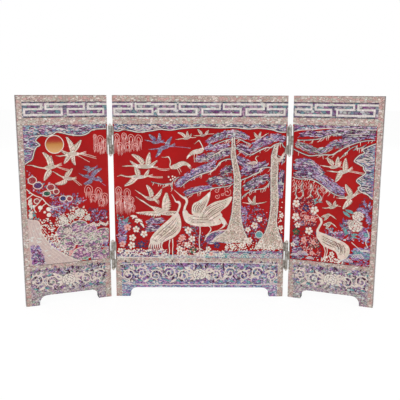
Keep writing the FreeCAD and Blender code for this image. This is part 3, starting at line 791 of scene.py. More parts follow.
def bough(under, sheets, wire, spine, width, seed):
    """Slivers laid along a spine, over a dark one. Sheets are the shells to pick from."""
    slivers_per_square_mm = 0.62
    draw = random.Random(seed)
    line = smooth(spine, steps=6)
    for shift, share, sheet in ((0.0, 0.6, under), (0.26, 0.24, sheets[0])):
        middle = sides(line, [width * shift * 2] * 2)[0]
        ragged = [width * share * (0.5 + 0.5 * math.sin(math.pi * (0.1 + 0.8 * i / len(line))))
                  * draw.uniform(0.6, 1.3) for i in range(len(line))]
        ragged[0] = ragged[-1] = 0.4
        sheet.strip(middle, ragged, 0.08)
    for i in range(len(line) - 1):
        ax, az = line[i]
        bx, bz = line[i + 1]
        run = math.hypot(bx - ax, bz - az)
        lean = math.atan2(bz - az, bx - ax)
        t = i / max(len(line) - 1, 1)
        full = width * (0.45 + 0.55 * math.sin(math.pi * min(max(t * 0.9 + 0.08, 0), 1)))
        for _ in range(max(int(run * full * slivers_per_square_mm), 1)):
            along = draw.random()
            off = draw.uniform(-0.56, 0.56) * full
            x = ax + (bx - ax) * along - math.sin(lean) * off
            z = az + (bz - az) * along + math.cos(lean) * off
            turn = lean + draw.uniform(-0.45, 0.45)
            half = draw.uniform(1.2, 2.8)
            if not wire.front.low + half < x < wire.front.high - half:
                continue
            dx, dz = math.cos(turn) * half, math.sin(turn) * half
            bow = draw.uniform(-0.5, 0.5)
            sliver = [(x - dx, z - dz), (x - dz * 0.2 * bow, z + dx * 0.2 * bow), (x + dx, z + dz)]
            sheet = draw.choice(sheets)
            sheet.strip(smooth(sliver, steps=3), [0.15, draw.uniform(0.7, 1.4), 0.15], 0.14)

    for _ in range(int(len(line) / 4)):
        at = draw.randrange(0, max(len(line) - 5, 1))
        shift = draw.uniform(-0.42, 0.42) * width
        arc = sides(line, [shift * 2] * 2)[0][at:at + 5]
        arc[-1] = (arc[-1][0], arc[-1][1] - draw.uniform(0, 1.2))
        wire.strip(arc, [0.15, 0.45, 0.4, 0.15], 0.2)


def limb(wire, limb_shade, points, width, twigs, seed, down=1.0):
    """A pale limb with twigs hanging from it, over a wider dark strip of painted shade."""
    draw = random.Random(seed)
    line = smooth(points, steps=6)
    width *= 0.8
    wire.strip(line, [width * 0.6, width, width, width * 0.5], 0.26)
    # A wider strip of dark shell under the limb: painted shade along both its edges.
    limb_shade.strip(line, width + 1.0, 0.19)
    for _ in range(int(twigs * 1.8)):
        i = draw.randrange(1, len(line) - 1)
        x, z = line[i]
        reach = draw.uniform(2.4, 6.0)
        lean = draw.uniform(-1.0, 0.2)
        twig = [(x, z), (x + lean * reach * 0.5, z - down * reach * 0.55),
                (x + lean * reach, z - down * reach * 0.8)]
        wire.strip(smooth(twig, steps=3), [0.5, 0.4, 0.2], 0.22)


def pines(front, boughs, limbs, twig_direction=1.0):
    """All the boughs and limbs of one panel."""
    shells = {
        "v": Inlay(front, "violet_needles", needle_shell),
        "b": Inlay(front, "blue_needles", blue_needle_shell),
        "g": Inlay(front, "green_needles", green_needle_shell),
        "d": Inlay(front, "shadow_needles", deep_shell),
        "p": Inlay(front, "lilac_needles", lilac_shell),
    }
    wire = Inlay(front, "pine_limbs", pale_shell)
    limb_shade = Inlay(front, "limb_painted_shade", string_shell)
    for k, (kinds, width, spine) in enumerate(boughs):
        bough(shells["d"], [shells[c] for c in kinds + kinds + "p"], wire, spine, width, k + 5)
    for k, (width, twigs, points) in enumerate(limbs):
        limb(wire, limb_shade, points, width, twigs, k + 50, twig_direction)
    for sheet in shells.values():
        if sheet.points:
            sheet.fix()
    wire.fix()
    limb_shade.fix()


pines(centre, [
    ("vgb", 7.5, [(7.5, 163), (14, 167), (22.5, 171), (32.5, 172.5), (41.7, 171), (49, 167)]),
    ("vvb", 6, [(5, 156.4), (11.7, 158.4), (19, 158), (30, 161)]),
    ("vbd", 9, [(36.7, 158), (43, 157), (50, 153)]),
    ("vdb", 9, [(38, 148), (45, 142), (54, 138)]),
    ("vgv", 8.5, [(-4, 146), (7.5, 148), (16, 150), (24, 152.4), (31, 155)]),
    ("bbv", 8.5, [(-24.6, 119), (-16, 125), (-8, 130), (0, 134), (8, 138), (16, 142)]),
    ("vdg", 8, [(21, 132), (28, 135), (34, 137)]),
    ("gvd", 9, [(8, 122), (16, 125), (24, 124), (33, 126)]),
    ("bbv", 5.5, [(-16, 111.4), (-8, 114), (-1, 116), (12, 118)]),
    ("vbd", 9, [(42, 132), (50, 135), (60, 138), (68, 142)]),
    ("gvd", 9.5, [(45, 116), (53, 120), (61.7, 125), (71, 128)]),
    ("vbv", 8.5, [(53, 160), (61.7, 163.4), (70, 166.4), (78, 168.4), (87, 166)]),
    ("vbg", 6, [(50, 154), (56, 157), (62, 160.4)]),
    ("vbd", 7, [(84, 106), (83.6, 116), (84.4, 126), (84, 136)]),
    ("vgb", 5, [(83, 142), (85, 146), (86, 152)]),
    ("bvg", 7, [(-55, 79), (-47, 82), (-38, 83)]),
    ("vdv", 7, [(-56, 73), (-49, 74), (-42, 75)]),
], [
    (1.0, 5, [(34, 158), (26, 157), (19, 153.4), (12.5, 150), (5.8, 146)]),
    (1.3, 8, [(34, 146), (29, 146.4), (24, 145), (20, 142.5), (16.7, 138), (11.7, 134.4), (1.7, 131),
              (-5, 128.4), (-12, 124), (-20, 117.6)]),
    (0.9, 6, [(35, 121.7), (28, 118.4), (20, 117.5), (12, 116), (3, 113.6), (-8, 110.6), (-16, 107.4)]),
    (0.8, 4, [(33, 167), (28, 166), (21, 163.6), (14, 160.6)]),
    (0.8, 4, [(35, 167.4), (40, 166.6), (46, 163.6), (52, 161.4)]),
    (1.0, 5, [(36, 157.6), (42, 155), (48, 151.6), (52.5, 151), (58, 154), (66, 158), (71.7, 158.4),
              (75, 161), (82, 163), (84, 160), (87.4, 157)]),
    (1.2, 6, [(42, 125), (49, 127.6), (55, 131), (60, 133), (62, 136.6), (67.5, 138), (72.6, 138)]),
    (0.9, 7, [(43, 106.7), (48, 111), (56.7, 115), (65, 116.4), (70, 119.4), (71, 124)]),
    (0.6, 4, [(-28, 115.6), (-29, 121), (-26, 125), (-21, 128)]),
    (0.5, 9, [(-50, 123), (-44, 121.4), (-38, 120.4), (-33, 121), (-28, 122)]),
    (0.9, 2, [(79, 150), (83, 149), (86, 152), (86.6, 157)]),
])
pines(right_wing, [
    ("vdb", 6.5, [(7, 171), (16, 172.4), (26, 173), (36, 175), (44, 177)]),
    ("gvg", 7, [(3, 162), (12.5, 159.4), (21, 156.6), (28, 156), (34, 158)]),
    ("vbg", 8, [(34, 158), (42, 163), (50, 164), (58, 167), (66, 169)]),
    ("vdg", 8, [(36, 174), (46, 175), (58, 175.4), (70, 176), (81, 175.6)]),
    ("dvb", 6, [(50, 169), (60, 171), (70, 172), (81, 172)]),
    ("vvb", 12, [(1, 138), (8, 139), (16, 139), (24, 136.6), (31, 131)]),
    ("vdv", 8, [(2, 131), (9, 132), (16, 131.4), (24, 129)]),
    ("bbv", 10.5, [(24, 133), (32, 127.6), (40, 121.6), (47, 117.4), (53, 115.4)]),
    ("bvg", 6, [(4, 145), (12, 145.4), (20, 144), (26, 140)]),
], [
    (1.0, 7, [(0.6, 157.5), (8, 154), (17, 151), (25, 151.7), (32, 152.5), (40, 153), (47, 157.5),
              (53, 161), (62, 165), (71, 167.5), (80, 168.4)]),
    (0.8, 8, [(5, 166), (17, 166.6), (28, 168.4), (36, 171.7), (45, 174.4)]),
    (1.1, 10, [(0.6, 128.6), (8, 127), (16.7, 127.4), (24, 126), (31.7, 121.7), (39, 116.4),
               (46.7, 112.6), (54, 112)]),
    (0.5, 6, [(50, 152), (54, 156), (58, 160), (64, 163)]),
    (0.5, 6, [(4, 123), (6, 118), (5, 112), (7, 108)]),
    (0.5, 6, [(12, 124), (11, 118), (13, 113), (12, 109)]),
    (0.5, 6, [(20, 123), (22, 118), (20, 113), (23, 109)]),
    (0.5, 6, [(28, 120), (27, 115), (30, 111), (32, 109)]),
    (0.6, 3, [(60, 158), (64, 160), (68, 161), (72, 164)]),
])

hanging = Inlay(right_wing, "hanging_twigs", pink_shell)
for k in range(13):
    x, top, fall = 3 + 2.5 * k, 126 - 0.45 * k, 12 - (k % 3) * 2.4
    hanging.strip(smooth([(x + 0.8 * math.sin(j * 2.1 + k), top - fall * j / 6) for j in range(7)], steps=3),
                  [0.5, 0.5, 0.3], 0.19)
hanging.fix()

# ------------------------------------------------------------------ cranes
# Each crane is sawn from pale shell in a few pieces: neck, body, tail and feathered wings. Feather
# lines are engraved and filled with dark lacquer. A few are cut from blue shell. Wider dark strips
# under the body, neck and wing hems are painted shade round the pale pieces.

crane_shell = shell(
    "crane_shell",
    [tint(192, 162, 150), tint(228, 204, 192), tint(206, 196, 176), tint(240, 222, 212),
     tint(214, 180, 172)],
    tint(196, 160, 148), 0.3, 0.03, 0.3, spread=0.5,
)
blue_crane_shell = streaky(
    "blue_crane_shell",
    [tint(48, 40, 84), tint(112, 98, 156), tint(178, 138, 168), tint(116, 152, 176),
     tint(204, 178, 200), tint(80, 60, 110)],
    tint(70, 44, 80), (0.3, 0.3, 0.5),
)


def engraving_fill():
    """Dark lacquer rubbed into engraved lines."""
    material, tree, shader = new_material("engraving_fill", 0.4, coat=0.3)
    tone = noise(tree, millimetres(tree), 0.6, 3.0)
    stops = [(0.3, tint(60, 22, 22)), (0.7, tint(104, 48, 42))]
    tree.links.new(ramp(tree, tone, stops), shader.inputs["Base Color"])
    return material


engraving = engraving_fill()


def wing(sheet, lines, root, tip, width, bow, trail):
    """A spread wing: a bowed arm, with feathers down to a notched hem on one side, 1 or -1."""
    dx, dz = tip[0] - root[0], tip[1] - root[1]
    length = math.hypot(dx, dz)
    mid = ((root[0] + tip[0]) / 2 - dz / length * bow, (root[1] + tip[1]) / 2 + dx / length * bow)
    spine = smooth([root, mid, tip], steps=6)
    hem = []
    for i, (x, z) in enumerate(spine[:-1]):
        run = math.hypot(spine[i + 1][0] - x, spine[i + 1][1] - z) or 1.0
        ux, uz = (spine[i + 1][0] - x) / run, (spine[i + 1][1] - z) / run
        t = i / (len(spine) - 1)
        reach = width * profile([0.95, 1.15, 0.95, 0.66, 0.36, 0.06], t)
        lean = 0.1 + 0.9 * t
        for deep, on in ((1.0, lean), (0.66, lean + 0.15)):
            hem.append((x + (ux * on - uz * trail * deep) * reach, z + (uz * on + ux * trail * deep) * reach))
    sheet.plate(spine + hem[::-1], 0.2)
    # A dark strip along the hem, half under the wing: painted shade round its edge.
    lines.strip(hem, 0.8, 0.12)
    sheet.strip(spine, [width * 0.2, width * 0.3, width * 0.25, 0.3], 0.25)
    for i in range(1, len(spine) - 1, 2):
        lines.strip([spine[i], hem[2 * i + 1]], [0.15, 0.36, 0.3], 0.24)
    inner = sides(spine, [width * 0.5 * trail] * 2)[0]
    lines.strip(inner[1:-2], 0.28, 0.24)


def crane(sheet, lines, neck, body, girth, wings, tail=None, legs=(), scale=1.0):
    """A crane from its beak to its toes, all in the panel's millimetres."""
    sheet.strip(smooth(neck, steps=6),
                [0.25 * scale, 0.4 * scale, 1.15 * scale, 0.9 * scale, 1.0 * scale, girth * 0.5], 0.23)
    sheet.strip(smooth(body, steps=6), [girth * 0.45, girth, girth, girth * 0.75, 0.5], 0.22)
    # Wider dark strips under the body and the neck: painted shade round their edges.
    lines.strip(smooth(body, steps=6), [girth * 0.45, girth + 0.9, girth + 0.9, girth * 0.75, 0.5], 0.11)
    lines.strip(smooth(neck, steps=6), [0.5, 0.9, 1.7 * scale, 1.5 * scale, 1.6 * scale, girth * 0.5], 0.11)
    for root, tip, width, bow, trail in wings:
        wing(sheet, lines, root, tip, width, bow, trail)
    if tail:
        for k in (-1, 0, 1):
            end = (tail[1][0] - k * 0.12 * (tail[1][1] - tail[0][1]),
                   tail[1][1] + k * 0.12 * (tail[1][0] - tail[0][0]) + k * 0.5)
            sheet.strip([tail[0], end], [0.9, 1.1, 0.3], 0.21)
    for leg in legs:
        sheet.strip(smooth(leg, steps=4), [0.6, 0.45, 0.45, 0.4], 0.2)
    back = smooth(body, steps=6)
    for shift in (-0.22, 0.05, 0.3):
        left, _ = sides(back, [2 * girth * shift] * 2)
        lines.strip(left[2:-3], 0.26, 0.29)


flock = Inlay(centre, "cranes", crane_shell)
flock_lines = Inlay(centre, "crane_engraving_and_painted_shade", engraving)
blue_flock = Inlay(centre, "blue_cranes", blue_crane_shell)

crane(blue_flock, flock_lines, [(-56, 165.6), (-53.4, 165), (-51, 164.6), (-48, 163.8)],
      [(-49, 163.8), (-45, 163), (-40, 163.4)], 2.6,
      [((-46, 164), (-51.6, 171), 3.4, 0.6, -1), ((-43.6, 164), (-41.4, 172.4), 3.2, -0.5, -1)],
      ((-41, 163.4), (-36, 165)), [[(-40, 163), (-34.6, 162.8)]], 0.8)
crane(blue_flock, flock_lines, [(-52, 156), (-49, 156.2), (-45, 156.6), (-41, 157)],
      [(-41, 157), (-36, 158), (-30, 159.6)], 3.4,
      [((-36, 158), (-28.6, 169), 3.8, 1.2, -1), ((-38, 156.6), (-44.7, 148), 3.4, 0.8, -1)],
      ((-31, 159), (-25, 161.4)), [[(-30, 159), (-20, 158.6), (-9.7, 157.4)]], 0.9)
crane(flock, flock_lines, [(-24.7, 166), (-22, 166.4), (-19.4, 166.8), (-16.4, 167.2)],
      [(-17, 167), (-13, 167.4), (-9, 168.6)], 2.0,
      [((-15.4, 167.8), (-22.6, 173), 2.6, -0.6, -1), ((-13.4, 168), (-13, 174.6), 2.4, 0.4, -1),
       ((-11.6, 168.4), (-8.6, 172), 1.6, 0, -1)],
      None, [[(-9, 168), (-4, 168.2)]], 0.7)
crane(flock, flock_lines, [(-7, 170), (-4.4, 170), (-2, 170), (0, 170.2)],
      [(0, 170.2), (3.4, 170.4), (7, 172)], 2.0,
      [((1, 171), (-2.4, 176.4), 2.4, 0.4, -1), ((4.6, 171.4), (8.6, 175.6), 2.2, 0.4, -1)],
      None, [[(7, 171.6), (14, 172)]], 0.7)
crane(flock, flock_lines, [(69.4, 173), (66.6, 171.6), (64, 169.8), (61.6, 168.6)],
      [(62, 168.6), (58.6, 167.6), (54.6, 166.6)], 2.0,
      [((59.6, 168.6), (54.6, 173.6), 2.4, 0.4, 1), ((61, 169), (61.4, 174), 2.0, 0.3, 1)],
      None, [[(55, 166.4), (51, 165.6)]], 0.7)
crane(flock, flock_lines, [(68.6, 102.6), (65.6, 101.6), (62, 101), (59, 100.6)],
      [(59, 100.6), (54.6, 100), (48, 101)], 1.9,
      [((55, 101), (49.6, 107.6), 2.6, 0.5, 1), ((57, 101.4), (57, 108.6), 2.4, 0.3, 1)],
      None, [[(48, 101), (44, 101.6)]], 0.7)
crane(flock, flock_lines, [(-79, 138.8), (-75.6, 139), (-71, 139.2), (-66, 139)],
      [(-66, 139), (-56, 138.6), (-47, 138)], 4.0,
      [((-59, 140), (-69.4, 150.6), 4.6, -0.8, -1), ((-55, 140), (-51.4, 153), 4.6, 0.8, -1),
       ((-52, 139), (-43.4, 145), 3.0, 0.3, -1), ((-62, 139.4), (-71, 144.6), 2.8, 0.2, 1)],
      ((-48, 138), (-43, 137.4)), [[(-46, 138), (-38, 136), (-31, 136.6)],
      [(-46, 137.4), (-38, 134.6), (-31, 135.4)]])
crane(flock, flock_lines, [(-84.4, 128.2), (-80.6, 129.6), (-76, 128.4), (-70, 128)],
      [(-70, 128), (-62, 127.8), (-53, 128.6)], 3.8,
      [((-64, 129), (-66.4, 138.6), 4.4, 0.6, -1), ((-63, 127), (-77, 118.2), 4.6, 1.4, -1),
       ((-57, 129), (-52, 135.6), 3.2, 0.4, -1)],
      ((-54, 128.6), (-48, 129.4)), [[(-52, 128.6), (-44, 128), (-38, 128.2)],
      [(-52, 128), (-44, 127), (-38, 127.2)]])
crane(flock, flock_lines, [(-66.6, 114.4), (-63, 112), (-60, 110), (-56, 107)],
      [(-56, 107), (-51, 105), (-45, 104)], 3.2,
      [((-51, 107), (-55, 119.4), 4.2, -0.6, -1), ((-48, 106), (-39.4, 115.6), 3.8, -0.6, -1)],
      ((-47, 104), (-42, 100.6)), [[(-46, 104), (-42, 103.6)]])
crane(flock, flock_lines, [(-66, 107.6), (-62, 104.6), (-57.6, 102), (-52, 98), (-47, 95.4)],
      [(-48, 96), (-42, 92.6), (-34, 90.6), (-26, 88.6)], 6.0,
      [((-38, 93), (-35, 111.6), 7.6, 1.0, -1), ((-40, 91), (-66, 90.6), 4.4, -0.6, 1),
       ((-36, 91), (-24, 92), 3.6, 0.4, -1)],
      ((-30, 89.4), (-24, 87)), [[(-30, 89), (-26, 86.4), (-23, 84)]], 1.2)
crane(flock, flock_lines, [(-5.6, 161.6), (-3.4, 163.6), (-1, 165), (1, 162), (2.6, 158.6), (3, 156)],
      [(3.4, 157.4), (0, 154.6), (-7, 153), (-13.4, 148)], 4.6, [],
      ((-10, 151), (-13.4, 146.6)), [[(-5.6, 152), (-6, 147), (-5.4, 143)],
      [(-3, 152), (-3.4, 147), (-3, 143.6)]], 0.9)
crane(flock, flock_lines, [(-39, 148.2), (-35.6, 148), (-32, 148.4), (-30, 144), (-30.6, 139.6),
    (-29, 137.4)],
      [(-30, 137.4), (-24, 139), (-17, 142), (-9.4, 139.6)], 5.0, [],
      ((-14, 141), (-9, 137)), [[(-23.6, 137), (-21.4, 133.4), (-20.6, 130.6)], [(-21, 137), (-19, 133)]],
      0.9)
crane(flock, flock_lines, [(59.6, 149.4), (57.6, 149.4), (56.4, 147), (58, 144.4), (57.6, 142)],
      [(58, 142.6), (54, 142.6), (49, 142)], 3.2, [],
      ((51, 142.4), (46.6, 141.4)), [[(54, 141), (54.6, 138)]], 0.8)
crane(flock, flock_lines, [(76, 157), (78.4, 155), (77, 152), (76, 149), (78, 147)],
      [(76, 148), (80, 145.6), (84.6, 149.4)], 4.0, [],
      ((82, 148), (86, 153)), [[(80, 145), (80.4, 141)]], 0.8)

# The tall pair in the middle. Their bodies are cut as single plates with drawn contours.


def drawn_body(sheet, lines, outline, scores):
    """A large body plate and its engraved feather lines. Returns the outline, which the caller edges with a
    raised rim.
    """
    shape = smooth(outline, closed=True, steps=4)
    sheet.plate(shape, 0.22)
    between = [[((p[0] + q[0]) / 2, (p[1] + q[1]) / 2) for p, q in zip(a, b)]
               for a, b in zip(scores, scores[1:]) if len(a) == len(b) and len(a) > 2]
    for score in between:
        lines.strip(smooth(score, steps=4), [0.1, 0.34, 0.34, 0.1], 0.3)
    for score in scores:
        path = smooth(score, steps=4)
        lines.strip(path, [0.15, 0.55, 0.55, 0.12], 0.3)
        for i in range(1, len(path) - 1, 2):
            x, z = path[i]
            turn = math.atan2(path[i + 1][1] - z, path[i + 1][0] - x) + 0.7
            lines.strip([(x, z), (x + 1.7 * math.cos(turn), z + 1.7 * math.sin(turn))], [0.36, 0.12], 0.3)
    return shape


pair_rims = Inlay(centre, "crane_pair_rims", pale_shell)
pair_rims.strip(drawn_body(flock, flock_lines, [
    (-26.3, 89), (-22.6, 90), (-20.5, 85), (-19.5, 77.5), (-21.3, 70.8), (-27, 65), (-33.8, 61.7),
    (-38, 59.6), (-43, 57.6), (-49, 57), (-51.6, 60), (-50, 65), (-44.7, 71.4), (-38, 78),
    (-31.3, 83.8)], [
    [(-24, 86), (-29, 79), (-37, 71), (-47, 61)], [(-22.4, 82), (-26, 74), (-33, 68), (-42, 61)],
    [(-21.4, 76), (-27, 69), (-35, 64), (-42, 57)], [(-27, 84), (-34, 77), (-42, 70), (-50, 62)],
    [(-30, 75), (-34, 76)], [(-34, 70), (-38, 72)], [(-39, 66), (-43, 68)], [(-44, 60), (-48, 62)]]),
    0.6, 0.27, closed=True)
pair_rims.strip(smooth([(-29, 110), (-26.6, 106), (-24.6, 102.4), (-21.6, 101.6), (-20.6, 98.6), (-22, 94),
                        (-24, 89), (-24.4, 85)], steps=6), [0.4, 0.7, 1.6, 2.6, 2.0, 1.9, 2.4, 4.4], 0.26)
pair_rims.strip(smooth([(-26.4, 114.6), (-22, 110.6), (-17.6, 107), (-14.4, 105.4), (-13.4, 101.6),
                        (-15.4, 96.6), (-16, 91), (-14.4, 86), (-9, 82)], steps=6),
                [0.4, 0.8, 1.8, 2.8, 2.2, 2.2, 2.6, 4.4, 5.6], 0.26)
pair_rims.strip(drawn_body(flock, flock_lines, [
    (-17.6, 92), (-14, 93), (-11, 89), (-5, 88), (2, 90), (8, 88), (14, 86), (19, 84), (22, 80),
    (16, 77.6), (6, 76.4), (-4, 77), (-11, 79), (-15.6, 83)], [
    [(-12, 86), (-5, 83), (4, 84), (14, 82)], [(-13, 83), (-5, 80), (5, 80.6), (16, 79.6)],
    [(-8, 87), (0, 86), (8, 86)]]), 0.55, 0.27, closed=True)
pair_rims.strip(drawn_body(flock, flock_lines, [
    (-7, 89), (-8, 95), (-6.4, 100), (-1, 103), (5, 107.6), (10.4, 112.4), (9.6, 106), (7, 99),
    (4.4, 93), (1, 88)], [
    [(-5, 90), (-4, 96), (0, 101)], [(-2.4, 90), (0, 96), (5, 103)], [(0.4, 90), (3.4, 96), (8, 105)],
    [(-6.6, 92), (-6, 97), (-3, 100)]]), 0.55, 0.3, closed=True)
pair_rims.strip(drawn_body(flock, flock_lines, [
    (-1, 84), (3, 92), (9, 98), (16, 102), (25, 104.4), (32.6, 107.6), (31, 102), (27, 97), (21, 92),
    (23, 88), (19, 84), (12, 81), (5, 81)], [
    [(2, 86), (8, 94), (16, 99), (28, 104)], [(4, 84), (11, 91), (18, 96), (28, 101)],
    [(7, 83), (13, 88), (19, 92), (25, 97)], [(10, 82), (16, 86), (21, 89)],
    [(3, 89), (7, 95), (12, 99)]]), 0.55, 0.31, closed=True)
for k in range(9):
    start = (19 + k * 0.5, 89 - k * 1.1)
    pair_rims.strip(smooth([start, (25 + k * 0.1, 84 - k * 0.9), (28.6 - k * 1.2, 78 - k * 0.7)], steps=4),
                    [1.3, 1.1, 0.3], 0.25)
for k in range(7):
    pair_rims.strip(smooth([(-38 - k * 1.9, 61 + k * 0.3), (-40 - k * 2.1, 55.4),
        (-38 - k * 2.5, 50.6 + k * 0.3)],
                           steps=3), [1.5, 1.3, 0.3], 0.25)
for leg in ([(0, 78), (0.4, 70), (-0.6, 62), (0, 52)], [(4.6, 78), (9, 77), (11.6, 73), (8.4, 68), (6, 66)],
            [(-31, 62), (-32, 56), (-31.6, 50), (-32.4, 44)],
            [(-28.4, 63), (-28, 56), (-28.4, 50), (-28, 44)]):
    pair_rims.strip(smooth(leg, steps=5), [1.3, 0.9, 0.9, 1.1], 0.2)
for toe in ((-3.4, 50.6), (0.4, 50), (3.4, 51)):
    pair_rims.strip([(0, 53), toe], [0.8, 0.4], 0.2)
for piece in (flock, flock_lines, blue_flock, pair_rims):
    piece.fix()

flock = Inlay(left_wing, "cranes", crane_shell)
flock_lines = Inlay(left_wing, "crane_engraving_and_painted_shade", engraving)
blue_flock = Inlay(left_wing, "blue_cranes", blue_crane_shell)
crane(flock, flock_lines, [(35, 151.8), (38.6, 151), (42, 151.4), (46, 151.8)],
      [(45, 151.8), (51.7, 152.5), (59, 152.6)], 4.4,
      [((50, 154), (45.6, 169.6), 4.6, -0.6, -1), ((53, 154), (60.6, 166), 4.6, -0.8, 1),
       ((48, 153.4), (39.4, 157.4), 2.6, 0, 1), ((50, 151), (43, 143.4), 4.0, 0.6, -1),
       ((53, 151), (54, 141.6), 3.4, -0.4, -1)],
      ((57, 152.6), (65, 153.4)),
      [[(58, 152.4), (66, 150), (75, 147)], [(56, 151.4), (63, 147), (68, 144)],
      [(60, 152.8), (68, 151), (74.6, 148.6)]])
crane(flock, flock_lines, [(7.4, 143.4), (12, 143), (16, 141.6), (21, 140.2), (25, 139.8)],
      [(24, 139.8), (29, 140.2), (37, 141.6)], 4.0,
      [((28, 141.6), (22.4, 155), 4.6, -1.2, -1), ((28, 139), (22.6, 127.6), 4.6, -1.0, 1),
       ((31, 141), (30.4, 152), 2.2, 0.4, -1)],
      ((34, 141.4), (40.6, 143)), [[(36, 141), (42, 138.8), (47.6, 137.2)],
      [(36, 140.4), (42, 137.6), (47, 136.2)]])
crane(flock, flock_lines, [(31.6, 136.4), (35, 134), (38, 131.8), (42, 129.6)],
      [(41, 130), (46, 128.4), (53, 128)], 3.6,
      [((45, 129.4), (51, 138), 4.0, -0.6, 1), ((44, 128), (33.4, 124), 3.8, 0.5, 1)],
      ((50, 128.4), (54.4, 128.6)), [[(52, 127.4), (56, 124), (59.4, 121)],
      [(51, 127), (54.4, 123.6), (57.6, 120.6)]])
crane(blue_flock, flock_lines, [(56.6, 133.4), (59.6, 131.4), (63, 129.6), (66, 128.4)],
      [(66, 128.4), (71, 127.4), (76.6, 124.6)], 3.6,
      [((71, 128.6), (80, 136.4), 4.0, 0.6, 1), ((69, 127), (61.4, 122.6), 3.6, 0.4, 1),
       ((74, 127), (80, 123.4), 3.0, 0, 1), ((67, 129), (60.6, 129.6), 2.6, 0.2, -1)],
      ((75, 126), (79.6, 124)), [[(77, 124.6), (81, 121), (83.6, 119)]])
crane(blue_flock, flock_lines, [(61, 137.4), (63, 136.6), (65, 136), (67, 136)],
      [(66, 136), (70, 136.8), (74.6, 138.6)], 2.6,
      [((68, 136.6), (62.4, 139.6), 2.6, 0.4, -1), ((70, 136), (66, 132.4), 2.4, 0, -1)],
      ((73, 138), (76, 139.6)), [], 0.8)
for piece in (flock, flock_lines, blue_flock):
    piece.fix()

flock = Inlay(right_wing, "cranes", crane_shell)
flock_lines = Inlay(right_wing, "crane_engraving_and_painted_shade", engraving)
crane(flock, flock_lines, [(28.6, 142), (32, 141.4), (35.6, 141), (39, 140.6)],
      [(38, 140.6), (43, 141), (49, 143.4)], 3.2,
      [((41, 142), (34.6, 149.6), 3.8, 0.8, -1), ((44, 142), (45.6, 151), 3.8, 0.6, -1)],
      ((46, 142.6), (49.4, 146)), [[(47, 141.4), (51, 141)]])
crane(flock, flock_lines, [(35.6, 136.6), (39.6, 136.4), (44, 136), (48, 136)],
      [(47, 136), (52, 136.4), (59, 139.4)], 3.6,
      [((51.6, 138), (53, 150), 4.4, 0.8, -1), ((51, 135), (44.6, 125.6), 4.2, 0.6, -1)],
      ((56, 138.4), (60.4, 141)), [[(58, 138), (65, 137), (72, 136)], [(57, 137), (64, 136), (71.4, 134.8)]])
crane(flock, flock_lines, [(46, 110), (49, 110), (52, 110.2), (55.6, 110.6)],
      [(55, 110.6), (60, 112), (65, 115.4)], 3.8,
      [((58.6, 113), (54, 124), 4.6, 0.8, -1), ((59, 110.6), (52.6, 99.4), 4.6, -0.8, 1),
       ((63, 114), (66, 119.4), 2.2, 0, -1)],
      ((63, 114.4), (67, 118)), [[(64, 113.4), (68.6, 116.6), (72, 117)]])
crane(flock, flock_lines, [(32.4, 99), (35, 98.8), (37, 99), (39, 99.6)],
      [(39, 99.6), (43, 100.4), (48, 103)], 2.8,
      [((40.6, 101), (36, 106.4), 2.8, 0.4, -1), ((43, 101.4), (45, 107), 2.6, 0.3, -1)],
      None, [[(47, 102), (51, 101.6)]], 0.8)
for shift_x, shift_z, size in ((39, 91.4, 1.0), (40.6, 83, 0.9)):
    crane(flock, flock_lines, [(shift_x + 8 * size, shift_z - 3.4), (shift_x + 6 * size, shift_z - 1.6),
                               (shift_x + 3 * size, shift_z + 0.4), (shift_x + 1, shift_z + 0.8)],
          [(shift_x + 2, shift_z + 0.8), (shift_x - 1, shift_z + 0.4), (shift_x - 4, shift_z - 1)], 2.8,
          [((shift_x, shift_z + 1), (shift_x - 7 * size, shift_z - 1.6), 2.8, -0.6, 1),
           ((shift_x + 1, shift_z), (shift_x - 4 * size, shift_z - 5.4), 2.6, 0.5, -1)], None, [], 0.8)
heron_rims = Inlay(right_wing, "standing_crane_rims", pale_shell)
heron_rims.strip(drawn_body(flock, flock_lines, [
    (28.6, 74), (31, 73.4), (37.5, 71.4), (46.7, 68.4), (55, 65.2), (60.6, 60.6), (61, 54),
    (57.6, 48.4), (52, 47.4), (48, 54.6), (41, 57.6), (35, 60), (30.8, 65), (28.3, 69)], [
    [(33, 70), (40, 67), (48, 64), (55, 60)], [(33, 67), (40, 63.6), (48, 61), (54, 56)],
    [(34, 64), (40, 61), (46, 59)], [(50, 64), (53, 58), (52, 52)], [(54, 63), (57, 58), (56, 52)],
    [(46, 66), (50, 60), (50, 55)]]), 0.6, 0.27, closed=True)
heron_rims.strip(smooth([(27.6, 91.4), (29.6, 89), (31.6, 87), (32.4, 83.6), (30.4, 79), (28.8, 75),
    (30, 71)],
                        steps=6), [0.4, 0.8, 2.6, 2.0, 2.0, 2.4, 4.4], 0.26)
for leg in ([(35.4, 60), (37.4, 54), (36.4, 48), (34, 43.4)],
    [(39, 59), (39.4, 53), (38, 47.6), (38.6, 43.6)]):
    heron_rims.strip(smooth(leg, steps=5), 0.8, 0.2)
for piece in (flock, flock_lines, heron_rims):
    piece.fix()

# ------------------------------------------------------------------ flowers and leaves
# Plum blossoms of five round petals, layered peonies, and pointed leaves. White flowers are pale
# shell; a few are dyed blue or green. Hearts are dots of gold and red lacquer.


def enamel(name, tones, gloss=0.15):
    """Dyed shell under clear lacquer, cloudy and deep."""
    material, tree, shader = new_material(name, gloss, coat=0.25)
    place = millimetres(tree)
    tone = noise(tree, place, 0.8, 4.0, 0.6)
    stops = [(0.3 + 0.4 * i / (len(tones) - 1), c) for i, c in enumerate(tones)]
    tree.links.new(ramp(tree, tone, stops), shader.inputs["Base Color"])
    bump(tree, shader, noise(tree, place, 1.6, 3.0), 0.03, 0.4)
    return material


